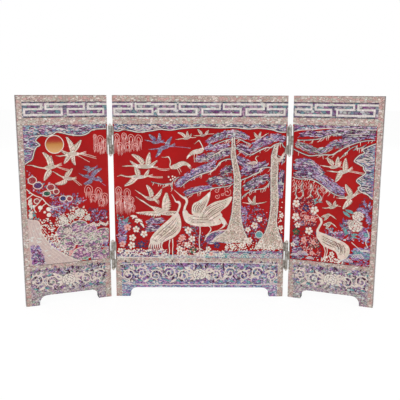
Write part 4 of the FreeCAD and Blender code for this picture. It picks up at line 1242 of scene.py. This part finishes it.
blue_enamel = enamel("blue_enamel", [tint(20, 20, 52), tint(44, 44, 92), tint(90, 90, 140)])
green_enamel = enamel("green_enamel", [tint(10, 40, 30), tint(24, 74, 52), tint(96, 136, 110)])
plum_enamel = enamel("plum_enamel", [tint(40, 16, 52), tint(78, 40, 92), tint(130, 92, 140)])
teal_enamel = enamel("teal_enamel", [tint(58, 108, 112), tint(96, 148, 150), tint(150, 186, 184)])
heart_enamel = enamel("heart_enamel", [tint(150, 30, 30), tint(186, 90, 50), tint(206, 150, 90)])
berry_enamel = enamel("berry_enamel", [tint(90, 14, 24), tint(150, 40, 46), tint(186, 104, 110)])
white_shell = shell(
    "white_shell",
    [tint(214, 198, 190), tint(232, 220, 212), tint(222, 218, 204), tint(240, 228, 222)],
    tint(206, 184, 176), 0.5, 0.03, 0.4,
)


def blossom(petals, hearts, x, z, radius, turn=0.3):
    radius *= 0.92
    for k in range(5):
        angle = turn + k * 2 * math.pi / 5
        petals.disc(x + 0.6 * radius * math.cos(angle), z + 0.6 * radius * math.sin(angle),
                    0.33 * radius, 0.33 * radius, 0.24, 10)
    petals.disc(x, z, 0.3 * radius, 0.3 * radius, 0.22, 10)
    hearts.disc(x, z, 0.2 * radius, 0.2 * radius, 0.31, 8)
    for k in range(5):
        angle = turn + 0.6 + k * 2 * math.pi / 5
        hearts.disc(x + 0.36 * radius * math.cos(angle), z + 0.36 * radius * math.sin(angle),
                    0.09 * radius, 0.09 * radius, 0.31, 6)


def peony(petals, lines, x, z, radius, seed):
    """Rings of scalloped petals, largest at the back."""
    draw = random.Random(seed)
    for ring, (reach, count) in enumerate(((0.78, 10), (0.47, 6), (0.18, 3))):
        for k in range(count):
            angle = 2 * math.pi * k / count + ring * 0.4 + draw.uniform(-0.15, 0.15)
            px, pz = x + reach * radius * math.cos(angle), z + reach * radius * 0.85 * math.sin(angle)
            size = radius * (0.23 - 0.02 * ring)
            petals.disc(px, pz, size, size * 0.9, 0.2 + 0.035 * ring, 12)
            arc = [(px + size * 0.8 * math.cos(angle + s), pz + size * 0.72 * math.sin(angle + s))
                   for s in (-1.1, -0.5, 0.1, 0.7, 1.2)]
            lines.strip(smooth(arc, steps=3), 0.34, 0.28 + 0.035 * ring)


def leaf(sheet, x, z, length, turn, width=0.4, height=0.17):
    tip = (x + length * math.cos(turn), z + length * math.sin(turn))
    mid = ((x + tip[0]) / 2 - math.sin(turn) * length * 0.08,
        (z + tip[1]) / 2 + math.cos(turn) * length * 0.08)
    sheet.strip(smooth([(x, z), mid, tip], steps=4), [0.2, length * width, length * width * 0.8, 0.1], height)


def spread(sheet, region, count, low, high, seed, height=0.16, long=1.0, turn=None):
    """Small chips strewn over a region."""
    draw = random.Random(seed)
    xs, zs = [p[0] for p in region], [p[1] for p in region]
    for _ in range(int(count * 1.7)):
        x, z = draw.uniform(min(xs), max(xs)), draw.uniform(min(zs), max(zs))
        if not inside((x, z), region) or not sheet.front.low + 1.5 < x < sheet.front.high - 1.5:
            continue
        size = draw.uniform(low, high)
        angle = draw.uniform(0, math.pi) if turn is None else turn + draw.uniform(-0.3, 0.3)
        if long <= 1.0:
            sheet.disc(x, z, size, size * 0.85, height, 8)
        else:
            leaf(sheet, x, z, size * long, angle, 0.5, height)


def garden(front):
    """The sheets of shell that one panel's flowers are cut from."""
    return {
        "white": Inlay(front, "white_flowers", white_shell),
        "cream": Inlay(front, "peonies", pale_shell),
        "pink": Inlay(front, "pink_flowers", pink_shell),
        "blue": Inlay(front, "blue_flowers", blue_enamel),
        "green": Inlay(front, "green_flowers", green_enamel),
        "plum": Inlay(front, "plum_fruit", plum_enamel),
        "teal": Inlay(front, "teal_leaves", teal_enamel),
        "violet": Inlay(front, "violet_leaves", needle_shell),
        "sky": Inlay(front, "blue_leaves", blue_needle_shell),
        "deep": Inlay(front, "dark_leaves", deep_shell),
        "heart": Inlay(front, "flower_hearts", heart_enamel),
        "berry": Inlay(front, "berries", berry_enamel),
        "line": Inlay(front, "petal_lines", engraving),
        "rim": Inlay(front, "garden_rims", pale_shell),
    }


beds = garden(centre)
spread(beds["deep"], [(-87, 43), (-87, 88), (-60, 84), (-54, 60), (-30, 44)], 150, 0.7, 1.2, 21, 0.12, 2.4)
spread(beds["sky"], [(-87, 58), (-87, 84), (-77, 80), (-78, 58)], 110, 0.7, 1.2, 22, 0.14, 2.6, 0.3)
spread(beds["teal"], [(-84, 78), (-86, 88), (-72, 84), (-74, 76)], 30, 0.7, 1.1, 23, 0.15, 2.6)
spread(beds["violet"], [(-87, 43), (-87, 50), (-36, 50), (-36, 43)], 120, 0.7, 1.2, 24, 0.14, 2.4, 0.2)
spread(beds["deep"], [(-30, 44), (-20, 66), (-10, 76), (0, 74), (8, 60), (8, 44)], 110, 0.7, 1.2, 25, 0.12,
    2.4)
spread(beds["violet"], [(-20, 62), (-16, 76), (-2, 76), (8, 64), (2, 54)], 60, 0.6, 1.1, 26, 0.14, 2.4)
spread(beds["teal"], [(-18, 70), (-14, 78), (-4, 76), (-8, 66)], 24, 0.5, 0.9, 27, 0.15, 2.2)
spread(beds["sky"], [(42, 78), (42, 96), (50, 98), (48, 78)], 50, 0.7, 1.2, 28, 0.14, 2.4, 1.4)
spread(beds["violet"], [(44, 72), (48, 98), (68, 98), (70, 76), (60, 60)], 110, 0.6, 1.1, 29, 0.13, 2.2)
spread(beds["deep"], [(44, 66), (48, 94), (70, 94), (70, 72), (60, 56)], 110, 0.6, 1.1, 30, 0.12, 2.2)
spread(beds["white"], [(26, 50), (28, 62), (48, 64), (60, 58), (86, 56), (86, 50)], 190, 0.4, 0.85, 31, 0.24)
spread(beds["white"], [(80, 62), (82, 100), (87, 104), (87, 62)], 40, 0.4, 0.9, 32, 0.24)
spread(beds["white"], [(-84, 44), (-84, 52), (-34, 52), (-34, 44)], 110, 0.4, 0.9, 33, 0.22)
spread(beds["pink"], [(-26, 46), (-22, 64), (-12, 66), (-4, 56), (4, 46)], 90, 0.4, 0.9, 34, 0.22)
spread(beds["white"], [(-24, 44), (-24, 50), (26, 50), (26, 44)], 90, 0.4, 0.9, 35, 0.24)
for x, z, radius, kind in (
    (-75, 75, 4.6, "pink"), (-66, 73, 4.2, "white"), (-70, 64, 4.4, "white"), (-58, 68, 4.4, "white"),
    (-80.6, 57, 4.0, "pink"), (-71, 56, 4.4, "white"), (-83, 50, 3.6, "white"), (-76, 48, 3.6, "white"),
    (-60.5, 57, 4.4, "blue"), (-52, 46.6, 3.2, "blue"), (-65, 82, 3.0, "white"), (-84, 66, 3.4, "violet"),
    (-12, 72, 4.4, "white"), (-18.6, 64, 4.2, "pink"), (-8, 63, 4.2, "white"), (-21, 52, 4.0, "white"),
    (-13, 56.6, 3.8, "white"), (-6.7, 50.6, 4.6, "green"), (-16, 47, 3.2, "white"), (3, 47, 3.2, "white"),
    (18, 56, 4.0, "blue"), (9, 52, 3.4, "white"), (12, 47, 3.0, "pink"), (56.7, 77.4, 4.4, "cream"),
    (62, 84, 3.4, "white"), (50, 73, 3.4, "white"), (52, 62, 3.4, "white"), (84, 75, 3.2, "white"),
    (84.4, 88, 3.0, "white"), (64, 60, 3.4, "white"), (44, 56, 3.4, "white"), (34, 55, 3.4, "white"),
    (74, 54, 3.2, "white"), (84, 66, 3.0, "blue"),
):
    blossom(beds[kind], beds["heart"], x, z, radius, x * 0.7)
beds["teal"].disc(61.7, 67.5, 3.6, 3.4, 0.22, 16)
beds["rim"].strip([(61.7 + 3.8 * math.cos(k * 0.35), 67.5 + 3.6 * math.sin(k * 0.35)) for k in range(18)],
    0.6,
               0.26, closed=True)
for x, z, length, turn in ((-72, 87, 8, -0.2), (-66, 84, 8, -0.5), (-62, 80, 7, -0.9), (-70, 84, 6, 0.6)):
    leaf(beds["white"], x, z, length, turn, 0.3, 0.23)
for centre_x, centre_z, curl in ((17, 114, 2.4), (17.6, 107.8, 2.6), (28, 111.8, 3.8), (23, 110, 1.6)):
    spiral = [(centre_x + curl * (0.25 + t / 14) * math.cos(t * 0.6), centre_z + curl * (0.25 + t / 14)
               * math.sin(t * 0.6)) for t in range(13)]
    beds["pink"].strip(spiral, 0.5, 0.18)
for x, z in ((-32, 128), (-28, 128.6), (-27.6, 126), (-25.6, 127.6), (-30, 125)):
    beds["white"].disc(x, z, 0.9, 0.9, 0.2, 10)
mound = smooth([(6, 60), (8, 66), (14, 70), (22, 71.4), (30, 70), (34, 64), (33, 58), (20, 59), (12, 57)],
               closed=True)
beds["violet"].plate(mound, 0.18)
beds["rim"].strip(smooth([(5, 61), (8, 66.4), (14, 70.4), (22, 72), (31, 72.6), (34, 75)]), 0.9, 0.25)
for k in range(3):
    beds["rim"].strip(smooth([(12 + k * 2, 60 + k * 2.2), (18 + k, 64.6 + k * 1.6), (26, 65.6 + k * 1.4),
                           (32, 62 + k * 1.6)]), 0.45, 0.24)
for sheet in beds.values():
    if sheet.points:
        sheet.fix()

beds = garden(left_wing)
rock = smooth([(5.2, 90), (10, 88.6), (16, 86.6), (18, 76), (22, 68.6), (28, 60), (38, 52), (50, 45),
    (55, 42.4)])
boulder = Inlay(left_wing, "waterfall", streaky(
    "waterfall_shell",
    [tint(182, 152, 146), tint(198, 176, 170), tint(206, 186, 178), tint(190, 168, 166), tint(212, 196, 188)],
    tint(190, 166, 160), (0.3, 0.3, 0.06)))
boulder.plate(rock + [(5.2, 42.4)], 0.16)
boulder.fix()
for k in range(7):
    beds["rim"].strip(smooth([(6 + k * 2.2, 86 - k), (8 + k * 2.6, 74), (12 + k * 3.6, 62),
        (22 + k * 4.4, 50),
                           (30 + k * 3.6, 43.4)]), 0.35, 0.22)
beds["rim"].strip(rock, 0.8, 0.26)
spread(beds["sky"], [(5.6, 42.6), (5.6, 63), (14, 61), (18, 52), (20, 42.6)], 150, 0.8, 1.3, 41, 0.2, 2.6,
    1.2)
spread(beds["violet"], [(5.6, 42.6), (5.6, 60), (15, 58), (19, 42.6)], 90, 0.8, 1.2, 59, 0.22, 2.6, 0.6)
beds["sky"].plate(smooth([(23.6, 68), (27, 62), (32, 57), (36, 55), (31, 60), (27, 66)], closed=True), 0.2)
spread(beds["teal"], [(5.6, 88), (5.6, 110), (10, 110), (14, 92), (20, 88)], 60, 0.7, 1.2, 42, 0.15, 2.4, 1.3)
spread(beds["cream"], [(5.6, 90), (5.6, 108), (9, 110), (11, 100), (10, 90)], 50, 0.7, 1.2, 43, 0.17, 2.4,
    1.4)
spread(beds["violet"], [(27, 94), (30, 112), (56, 112), (64, 104), (50, 98), (36, 90)], 190, 0.7, 1.2, 44,
    0.14, 2.4)
spread(beds["sky"], [(27, 92), (30, 102), (46, 104), (62, 108), (50, 100), (34, 88)], 90, 0.7, 1.2, 45,
    0.16, 2.4)
spread(beds["violet"], [(5.6, 110), (5.6, 140), (10, 136), (22, 124), (38, 124), (30, 108), (14, 114)], 120,
    0.7,
       1.2, 46, 0.14, 2.4)
for x, z, across, up, kind in ((11.7, 128.3, 3.9, 3.7, "berry"), (16.7, 123, 4.4, 3.3, "plum"),
                               (25, 114.6, 3.8, 2.6, "green"), (29, 120.6, 3.9, 3.3, "berry"),
                               (34, 116, 2.8, 2.6, "berry"), (40.4, 108.6, 3.3, 2.8, "blue"),
                               (46.7, 108, 2.8, 2.6, "berry"), (15, 107.6, 2.6, 2.4, "berry")):
    beds[kind].disc(x, z, across * 0.78, up * 0.78, 0.22, 18)
    beds["rim"].strip([(x + across * math.cos(k * 0.35), z + up * math.sin(k * 0.35)) for k in range(18)],
        0.75,
                   0.27, closed=True)
for vine in ([(5.8, 120), (10, 115.8), (14, 113), (20, 110), (24, 105), (28, 101.7), (33, 100.4),
    (40, 101.7)],
             [(5.4, 110), (10, 113.4), (12, 115)], [(20, 110), (16, 105), (12, 101), (14, 96)],
             [(24, 105), (20, 102), (17, 97)]):
    beds["rim"].strip(smooth(vine), 0.9, 0.24)
for x, z, radius in ((18, 100.8, 2.2), (25.8, 98.8, 2.2), (26, 93, 2.2), (12, 102.6, 1.4), (22, 96, 1.3)):
    beds["white"].disc(x, z, radius, radius * 0.95, 0.26, 14)
spray = [(16, 89), (27, 90), (31, 80), (35, 66), (44, 50.4), (41, 49), (30, 58), (22, 68), (18.6, 79)]
spread(beds["deep"], spray, 90, 0.6, 1.0, 47, 0.18, 2.0)
spread(beds["white"], spray, 330, 0.4, 0.85, 48, 0.27)
blossom_bank = [(31, 80), (34, 92), (44, 93), (52, 100), (62, 98), (66, 88), (56, 84), (44, 80)]
spread(beds["white"], blossom_bank, 150, 1.0, 1.7, 56, 0.24, 1.5)
spread(beds["line"], blossom_bank, 40, 0.5, 0.9, 57, 0.28, 2.0)
for x, z, radius, kind in ((40, 86, 5.4, "white"), (56.7, 93, 5.4, "white"), (48, 89, 3.8, "white"),
                           (44, 75, 4.6, "cream"), (66, 55, 3.8, "white"), (74, 56, 3.4, "white"),
                           (64, 87, 3.6, "white"), (33, 62, 2.6, "white")):
    peony(beds[kind], beds["line"], x, z, radius, int(x * 3 + z))
spread(beds["violet"], [(32, 56), (36, 80), (52, 72), (84, 74), (86, 56), (60, 44), (46, 46)], 280, 0.8,
    1.3, 49,
       0.14, 2.6, 0.3)
spread(beds["sky"], [(80, 56), (79, 70), (86, 74), (86, 50)], 70, 0.8, 1.3, 50, 0.18, 2.6, 1.3)
spread(beds["teal"], [(53, 42.6), (56, 48), (68, 50), (70, 42.6)], 60, 0.8, 1.2, 51, 0.17, 2.4, 0.2)
spread(beds["violet"], [(66, 42.6), (66, 50), (86, 52), (86, 42.6)], 110, 0.8, 1.2, 52, 0.17, 2.4, 0.2)
spread(beds["pink"], [(43, 49), (44, 57), (60, 57), (60, 49)], 60, 0.7, 1.1, 53, 0.18, 2.4, 0.4)
spread(beds["deep"], [(66, 76), (66, 96), (86, 94), (86, 76)], 120, 0.6, 1.1, 54, 0.13, 2.2)
spread(beds["sky"], [(66, 82), (70, 96), (86, 92), (86, 84)], 50, 0.6, 1.0, 55, 0.16, 2.4, 1.3)
rocks = Inlay(left_wing, "rocks", streaky(
    "rock_shell",
    [tint(44, 26, 42), tint(150, 112, 140), tint(104, 160, 126), tint(226, 206, 200), tint(192, 124, 168),
     tint(88, 66, 120), tint(236, 220, 214), tint(124, 160, 162)],
    tint(70, 36, 50), (0.16, 0.16, 0.3)))
for k, ledge in enumerate((
    [(33, 70), (34, 78), (40, 83), (46, 82), (48, 75), (42, 69)],
    [(45, 74), (48, 82), (56, 85), (63, 82), (62, 75), (53, 72)],
    [(58, 70), (62, 79), (70, 80), (73, 73), (67, 67)],
    [(40, 62), (43, 70), (51, 72), (55, 66), (50, 59)],
    [(48, 64), (50, 72), (57, 76), (64, 74), (68, 68), (62, 61), (54, 60)],
    [(60, 56), (63, 64), (69, 68), (76, 67), (79, 60), (75, 54), (67, 52)],
    [(34, 60), (38, 68), (46, 70), (51, 64), (48, 56), (40, 55)],
    [(70, 66), (73, 73), (80, 75), (86, 73), (86, 64), (78, 62)],
    [(47, 47), (50, 54), (58, 57), (66, 53), (66, 46), (56, 43.4)],
    [(68, 44), (70, 50), (78, 52), (86, 50), (86, 43)],
)):
    ledge = smooth(ledge, closed=True)
    rocks.plate(ledge, 0.17 + 0.01 * k)
    beds["rim"].strip(ledge, 0.5, 0.25, closed=True)
    beds["line"].strip([(x * 0.8 + ledge[0][0] * 0.2, z * 0.8 + ledge[0][1] * 0.2) for x, z in ledge[4:22]],
                    0.4, 0.24)
rocks.fix()
for k in range(8):
    blossom(beds["white"], beds["heart"], 67.6 + k * 2.5, 79.6 + 1.1 * math.sin(k * 1.9), 2.0, k)
for k in range(5):
    beds["rim"].strip(smooth([(48 + k * 2, 72 - k * 2), (54 + k * 2, 74.6 - k * 2.4),
        (62 + k * 2, 71 - k * 2),
                           (70 + k, 72 - k * 1.6)]), 0.5, 0.25)
for x, z in ((80, 60), (83, 52), (70, 47), (60, 46), (76, 45)):
    for reach in (1.4, 2.6, 3.8):
        beds["rim"].strip([(x + reach * math.cos(a), z + reach * 0.8 * math.sin(a))
                        for a in (0.2, 0.8, 1.4, 2.0, 2.6, 3.0)], 0.4, 0.24)
for sheet in beds.values():
    if sheet.points:
        sheet.fix()

beds = garden(right_wing)
spread(beds["deep"], [(1, 44), (1, 108), (26, 106), (30, 70), (36, 44)], 330, 0.6, 1.1, 61, 0.12, 2.2)
spread(beds["pink"], [(2, 92), (2, 108), (26, 106), (28, 80), (10, 78)], 110, 0.4, 0.8, 62, 0.16, 2.6)
spread(beds["violet"], [(0.8, 42.6), (0.8, 66), (8, 66), (12, 52), (14, 42.6)], 130, 0.8, 1.3, 63, 0.16,
    2.6, 0.7)
spread(beds["green"], [(20, 55), (22, 66), (32, 64), (34, 54)], 36, 0.5, 0.9, 64, 0.16, 2.4)
spread(beds["pink"], [(12, 52), (14, 68), (30, 66), (33, 48), (20, 48)], 110, 0.4, 0.8, 65, 0.18, 2.4)
spread(beds["violet"], [(36, 68), (38, 78), (52, 76), (56, 68)], 60, 0.7, 1.2, 66, 0.14, 2.4)
spread(beds["violet"], [(52, 66), (53, 86), (60, 88), (64, 74), (66, 66)], 90, 0.7, 1.2, 67, 0.14, 2.4, 1.3)
spread(beds["sky"], [(70, 66), (70, 80), (80, 82), (80, 66)], 60, 0.7, 1.2, 68, 0.14, 2.4)
spread(beds["violet"], [(50, 43), (52, 50), (80.6, 64), (80.6, 42.6)], 190, 0.8, 1.3, 69, 0.14, 2.6, 0.3)
spread(beds["sky"], [(62, 48), (63, 60), (80.6, 62), (80.6, 50)], 90, 0.8, 1.3, 70, 0.16, 2.6, -0.3)
spread(beds["teal"], [(63, 50), (64, 58), (80.6, 56), (80.6, 50)], 40, 0.8, 1.2, 71, 0.18, 2.6, -0.3)
spread(beds["white"], [(28, 43), (40, 50), (54, 50), (56, 43)], 60, 0.4, 0.9, 72, 0.2)
spread(beds["deep"], [(68, 96), (70, 110), (80.6, 112), (80.6, 84)], 60, 0.6, 1.0, 73, 0.12, 2.4)
for x, z, radius, kind in (
    (6, 101.6, 4.6, "white"), (16, 97.4, 4.4, "blue"), (25, 96, 4.8, "white"), (6, 87.4, 4.8, "white"),
    (20, 74, 4.8, "white"), (6.7, 71.8, 4.4, "green"), (13, 81, 3.4, "violet"), (24, 86, 3.0, "pink"),
    (8, 79, 3.6, "white"), (17, 88, 3.2, "pink"), (15, 64, 3.6, "pink"), (25, 62, 3.0, "pink"),
    (44, 52, 3.0, "white"), (4, 58, 3.0, "white"), (24, 50.6, 3.0, "pink"),
):
    blossom(beds[kind], beds["heart"], x, z, radius, x)
for x, z, radius in ((68, 93, 6.2), (66, 83, 7.6), (61, 86, 3.6)):
    peony(beds["cream"], beds["line"], x, z, radius, int(x))
for kind, leaves in (
    ("teal", [(60, 93, 8, 2.6), (63, 97, 8, 2.9), (58, 76, 7, 2.2), (56, 74, 6, 1.2), (74, 76, 7, -0.4),
              (62, 73, 7, 0.2), (24, 104, 6, 0.9), (28, 106, 5, 0.4)]),
    ("sky", [(66, 99, 8, 0.3), (71, 99, 8, 0.0), (74, 104, 6, 1.7), (78, 102, 6, 1.4), (76, 88, 6, 1.0),
             (72, 74, 8, 0.6), (74, 70, 7, 0.3), (76, 92, 6, 1.4)]),
    ("violet", [(56, 84, 7, 1.9), (55, 80, 7, 2.3), (78, 86, 7, 1.2), (40, 73, 7, 0.1), (48, 74, 7, 0.3)]),
):
    for x, z, length, turn in leaves:
        leaf(beds[kind], x, z, length, turn, 0.38, 0.2)
        leaf(beds[kind], x + 0.6, z - 1.6, length * 0.8, turn - 0.35, 0.36, 0.18)
for x, z, size in ((14, 47.6, 6), (22, 44, 4), (70, 50, 6), (60, 45, 5), (77, 57, 4), (6, 46, 4)):
    beds["sky"].plate([(x + size * math.cos(a / 8 * math.pi), z + size * 0.7 * math.sin(a / 8 * math.pi))
                    for a in range(9)], 0.19)
    for reach in (1.0, 0.7, 0.4):
        beds["rim"].strip([(x + size * reach * math.cos(a / 8 * math.pi), z + size * 0.7 * reach
                         * math.sin(a / 8 * math.pi)) for a in range(9)], 0.5, 0.25)
beds["rim"].strip(smooth([(77, 80), (79.4, 74), (76.6, 68), (79, 62)]), 0.8, 0.24)
beds["rim"].strip(smooth([(63, 66), (68, 62), (73, 58.6), (79, 58)]), 0.7, 0.24)
for sheet in beds.values():
    if sheet.points:
        sheet.fix()

# ------------------------------------------------------------------ water at the foot of the centre
# Arcs of teal and violet shell with pale rims, one over the other, as waves are drawn.
# They are sawn like fish scales and glued down along the bottom of the picture.

waves = Inlay(centre, "waves", violet_shell)
teal_waves = Inlay(centre, "teal_waves", teal_enamel)
foam = Inlay(centre, "wave_rims", pale_shell)
waves.plate([(8, 42.1), (87.4, 42.1), (87.4, 51), (80, 49.4), (70, 51), (58, 49.6), (46, 51), (36, 49.2),
             (28, 50.6), (20, 48.8), (14, 50.6), (8, 49)], 0.06)
waves.plate([(-87.4, 42.1), (8, 42.1), (8, 46), (-10, 45), (-36, 46.4), (-60, 45), (-87.4, 47)], 0.06)
foam.plate([(-87.4, 42.1), (8, 42.1), (8, 43.2), (-30, 43.6), (-60, 43), (-87.4, 43.6)], 0.12)
chance = random.Random(77)
for k in range(26):
    x = -36 + k * 4.9
    size = chance.uniform(3.4, 5.4) if x > 8 else chance.uniform(2.0, 3.0)
    z = 42.6
    sheet = teal_waves if k % 4 == 1 else waves
    arc = [(x + size * math.cos(a / 8 * math.pi),
        z + size * 0.95 * math.sin(a / 8 * math.pi)) for a in range(9)]
    if x + size > 87.4 or x - size < -87.4:
        continue
    sheet.plate(arc, 0.15 + (k % 3) * 0.03)
    for reach in (1.0, 0.62):
        foam.strip([(x + size * reach * math.cos(a / 8 * math.pi), z + size * 0.95 * reach
                     * math.sin(a / 8 * math.pi)) for a in range(9)], 0.42, 0.22 + (k % 3) * 0.03)
for piece in (waves, teal_waves, foam):
    piece.fix()

# ------------------------------------------------------------------ apron scrolls
# A peony in the middle and a running scroll of pale shell to each side. On the centre panel they
# lie inside a narrow frame that follows the arch.


def scroll(sheet, x, z, reach, hand, height=0.2):
    """A spiral stem with small leaves along its back."""
    turns = [(x + hand * reach * (0.18 + 0.82 * (1 - t / 22)) * math.cos(t * 0.42 + 0.4),
              z + reach * (0.18 + 0.82 * (1 - t / 22)) * math.sin(t * 0.42 + 0.4)) for t in range(23)]
    sheet.strip(smooth(turns, steps=2), [1.3, 1.1, 1.0, 0.8], height)
    sheet.disc(*turns[-1], 0.9, 0.9, height, 10)
    for t in (1, 4, 7, 10):
        px, pz = turns[t]
        leaf(sheet, px, pz, reach * 0.5, math.atan2(pz - z, px - x) + hand * 0.7, 0.42, height - 0.02)


def apron_work(front, low_x, high_x, middle_z, frame_inset):
    vine = Inlay(front, "apron_scrolls", pale_shell)
    petals = Inlay(front, "apron_peony", white_shell)
    lines = Inlay(front, "apron_petal_lines", engraving)
    tinted = Inlay(front, "apron_leaves", teal_enamel)
    middle = (low_x + high_x) / 2
    ground = [(low_x + 0.6, 37), (low_x + 0.6, 14), (high_x - 0.6, 14), (high_x - 0.6, 37)]
    chips = [(Inlay(front, f"apron_{label}_bits", material), amount, seed) for label, material, amount,
        seed in (
        ("violet", needle_shell, 0.03, 81), ("blue", blue_needle_shell, 0.03, 82),
        ("dark", deep_shell, 0.03, 83), ("green", green_needle_shell, 0.02, 84),
        ("pale", pale_shell, 0.02, 85))]
    for sheet, amount, seed in chips:
        spread(sheet, ground, int(amount * (high_x - low_x) * 23), 1.0, 1.7, seed, 0.1, 2.4)
        sheet.fix()
    peony(petals, lines, middle, middle_z, 7.4, 5)
    half = (high_x - low_x) / 2
    count = max(int((half - 10) / 12.5), 1)
    for hand in (-1, 1):
        for k in range(count):
            step = (half - 10) / count
            x = middle + hand * (10 + step * (k + 0.5))
            up = 1 if k % 2 else -1
            scroll(vine, x, middle_z + up * 1.4, min(step * 0.5, 6.6), hand * (1 if k % 2 else -1))
            leaf(vine, x - hand * step * 0.5, middle_z - up * 5, 7, (0 if hand > 0 else math.pi) + up * 0.5,
                0.4)
            leaf(tinted, x, middle_z - up * 7.4, 5, (0 if hand > 0 else math.pi) - up * 0.3, 0.42, 0.16)
            leaf(tinted, x + hand * 3, middle_z + up * 7.6, 5, (0 if hand > 0 else math.pi) + up * 0.3,
                0.42, 0.16)
        for turn in (-0.7, -0.25, 0.25, 0.7):
            angle = turn if hand > 0 else math.pi - turn
            leaf(vine, middle + hand * 5.6, middle_z + 3 * turn, 7, angle, 0.36, 0.17)
    low = 13.4
    high = 35.6
    frame_line = [(low_x + frame_inset, high), (low_x + frame_inset, 20), (low_x + frame_inset + 6, 16),
                  (low_x + frame_inset + 10, low), (high_x - frame_inset - 10, low),
                  (high_x - frame_inset - 6, 16), (high_x - frame_inset, 20), (high_x - frame_inset, high)]
    if front is centre:
        vine.strip(smooth(frame_line, closed=True, steps=5), 0.7, 0.2, closed=True)
    for piece in (vine, petals, lines, tinted):
        piece.fix()


apron_work(centre, -82, 82, 24.6, 2.0)
apron_work(left_wing, 5.3, 80.8, 24.6, 1.6)
apron_work(right_wing, 6, 81.5, 24.6, 1.6)

# ------------------------------------------------------------------ hinges and screws
# Small butt hinges of nickel-washed brass. The wash has dulled on the leaves and worn through to
# warm brass on the knuckles and finials. The screws are plain brass.


def washed_brass(name, pale, warm, roughness):
    material, tree, shader = new_material(name, roughness, metallic=0.6)
    place = millimetres(tree)
    handled = place_group(tree, HANDLED, Wear=1.0)
    tone = math_node(tree, "ADD", math_node(tree, "MULTIPLY", noise(tree, place, 0.5, 4.0), 0.7),
                     math_node(tree, "MULTIPLY", handled.outputs["Smear"], 0.3))
    colour = ramp(tree, tone, [(0.35, pale), (0.65, warm)])
    tree.links.new(colour, shader.inputs["Base Color"])
    rough = math_node(tree, "ADD", math_node(tree, "MULTIPLY", handled.outputs["Smear"], 0.3),
        roughness - 0.1)
    tree.links.new(rough, shader.inputs["Roughness"])
    bump(tree, shader, noise(tree, place, 3.0, 4.0), 0.02, 0.5)
    return material


leaf_metal = washed_brass("hinge_leaf_brass", tint(196, 194, 188), tint(116, 106, 94), 0.4)
pin_metal = washed_brass("hinge_pin_brass", tint(244, 243, 240), tint(214, 206, 190), 0.35)
screw_metal = washed_brass("screw_brass", tint(176, 150, 98), tint(140, 112, 70), 0.35)
for name in nodes:
    if name.endswith("_leaf"):
        coat_node(name, leaf_metal)
    elif name.endswith("_pin"):
        coat_node(name, pin_metal)
    elif name.endswith("_screws"):
        coat_node(name, screw_metal)

# ------------------------------------------------------------------ floor, light and camera
# A plain white floor under soft studio light, seen from a little above the head of the screen.
# Three large soft lights keep the lacquer free of hard reflections.


def floor_paper():
    material, tree, shader = new_material("floor_paper", 0.9)
    shader.inputs["Base Color"].default_value = (0.9, 0.9, 0.9, 1)
    path = tree.nodes.new("ShaderNodeLightPath")
    glow = tree.nodes.new("ShaderNodeEmission")
    glow.inputs["Strength"].default_value = 1.05
    blend = tree.nodes.new("ShaderNodeMixShader")
    seen = math_node(tree, "MULTIPLY", path.outputs["Is Camera Ray"], 0.85)
    tree.links.new(seen, blend.inputs["Fac"])
    tree.links.new(shader.outputs[0], blend.inputs[1])
    tree.links.new(glow.outputs[0], blend.inputs[2])
    tree.links.new(blend.outputs[0], tree.nodes["Material Output"].inputs["Surface"])
    return material


FLOOR = 6.0
floor_mesh = bpy.data.meshes.new("floor")
floor_mesh.from_pydata([(-FLOOR, -FLOOR, 0), (FLOOR, -FLOOR, 0), (FLOOR, FLOOR, 0), (-FLOOR, FLOOR, 0)], [],
                       [(0, 1, 2, 3)])
floor_mesh.materials.append(floor_paper())
floor = bpy.data.objects.new("floor", floor_mesh)
scene.collection.objects.link(floor)


def softbox(name, place, aim, size, power):
    light = bpy.data.lights.new(name, "AREA")
    light.shape = "RECTANGLE"
    light.size, light.size_y = size
    light.energy = power
    lamp = bpy.data.objects.new(name, light)
    scene.collection.objects.link(lamp)
    lamp.location = place
    lamp.rotation_euler = (Vector(aim) - Vector(place)).to_track_quat("-Z", "Y").to_euler()


softbox("key_softbox", (-0.7, -1.2, 1.1), (0, 0, 0.1), (1.0, 1.0), 9)
softbox("fill_softbox", (1.0, -1.1, 0.7), (0, 0, 0.1), (1.0, 1.0), 5)
softbox("back_softbox", (0.2, 1.3, 1.0), (0, 0, 0.1), (1.2, 0.8), 6)

world = bpy.data.worlds.new("studio")
scene.world = world
world.use_nodes = True
sky = world.node_tree.nodes["Background"]
sky_path = world.node_tree.nodes.new("ShaderNodeLightPath")
seen = math_node(world.node_tree, "MAXIMUM", sky_path.outputs["Is Camera Ray"],
                 sky_path.outputs["Is Transmission Ray"])
dimmed = math_node(world.node_tree, "MULTIPLY", sky_path.outputs["Is Glossy Ray"], 0.35)
strength = math_node(world.node_tree, "MULTIPLY_ADD", seen, 0.35)
strength.node.inputs[2].default_value = 0.65
strength = math_node(world.node_tree, "SUBTRACT", strength, dimmed, clamp=True)
world.node_tree.links.new(strength, sky.inputs["Strength"])
sky.inputs["Color"].default_value = (1, 1, 1, 1)

camera_data = bpy.data.cameras.new("camera")
camera_data.lens = 52.18
camera_data.sensor_width = 36.0
camera_data.clip_start = 0.01
camera = bpy.data.objects.new("camera", camera_data)
scene.collection.objects.link(camera)
camera.location = (-0.0009, -0.5746, 0.2144)
tilt = Matrix.Rotation(math.radians(-0.10), 3, "Z") @ Matrix.Rotation(math.radians(90 - 10.66), 3, "X")
camera.rotation_euler = (tilt @ Matrix.Rotation(math.radians(0.19), 3, "Z")).to_euler()
scene.camera = camera
scene.view_settings.view_transform = "Standard"
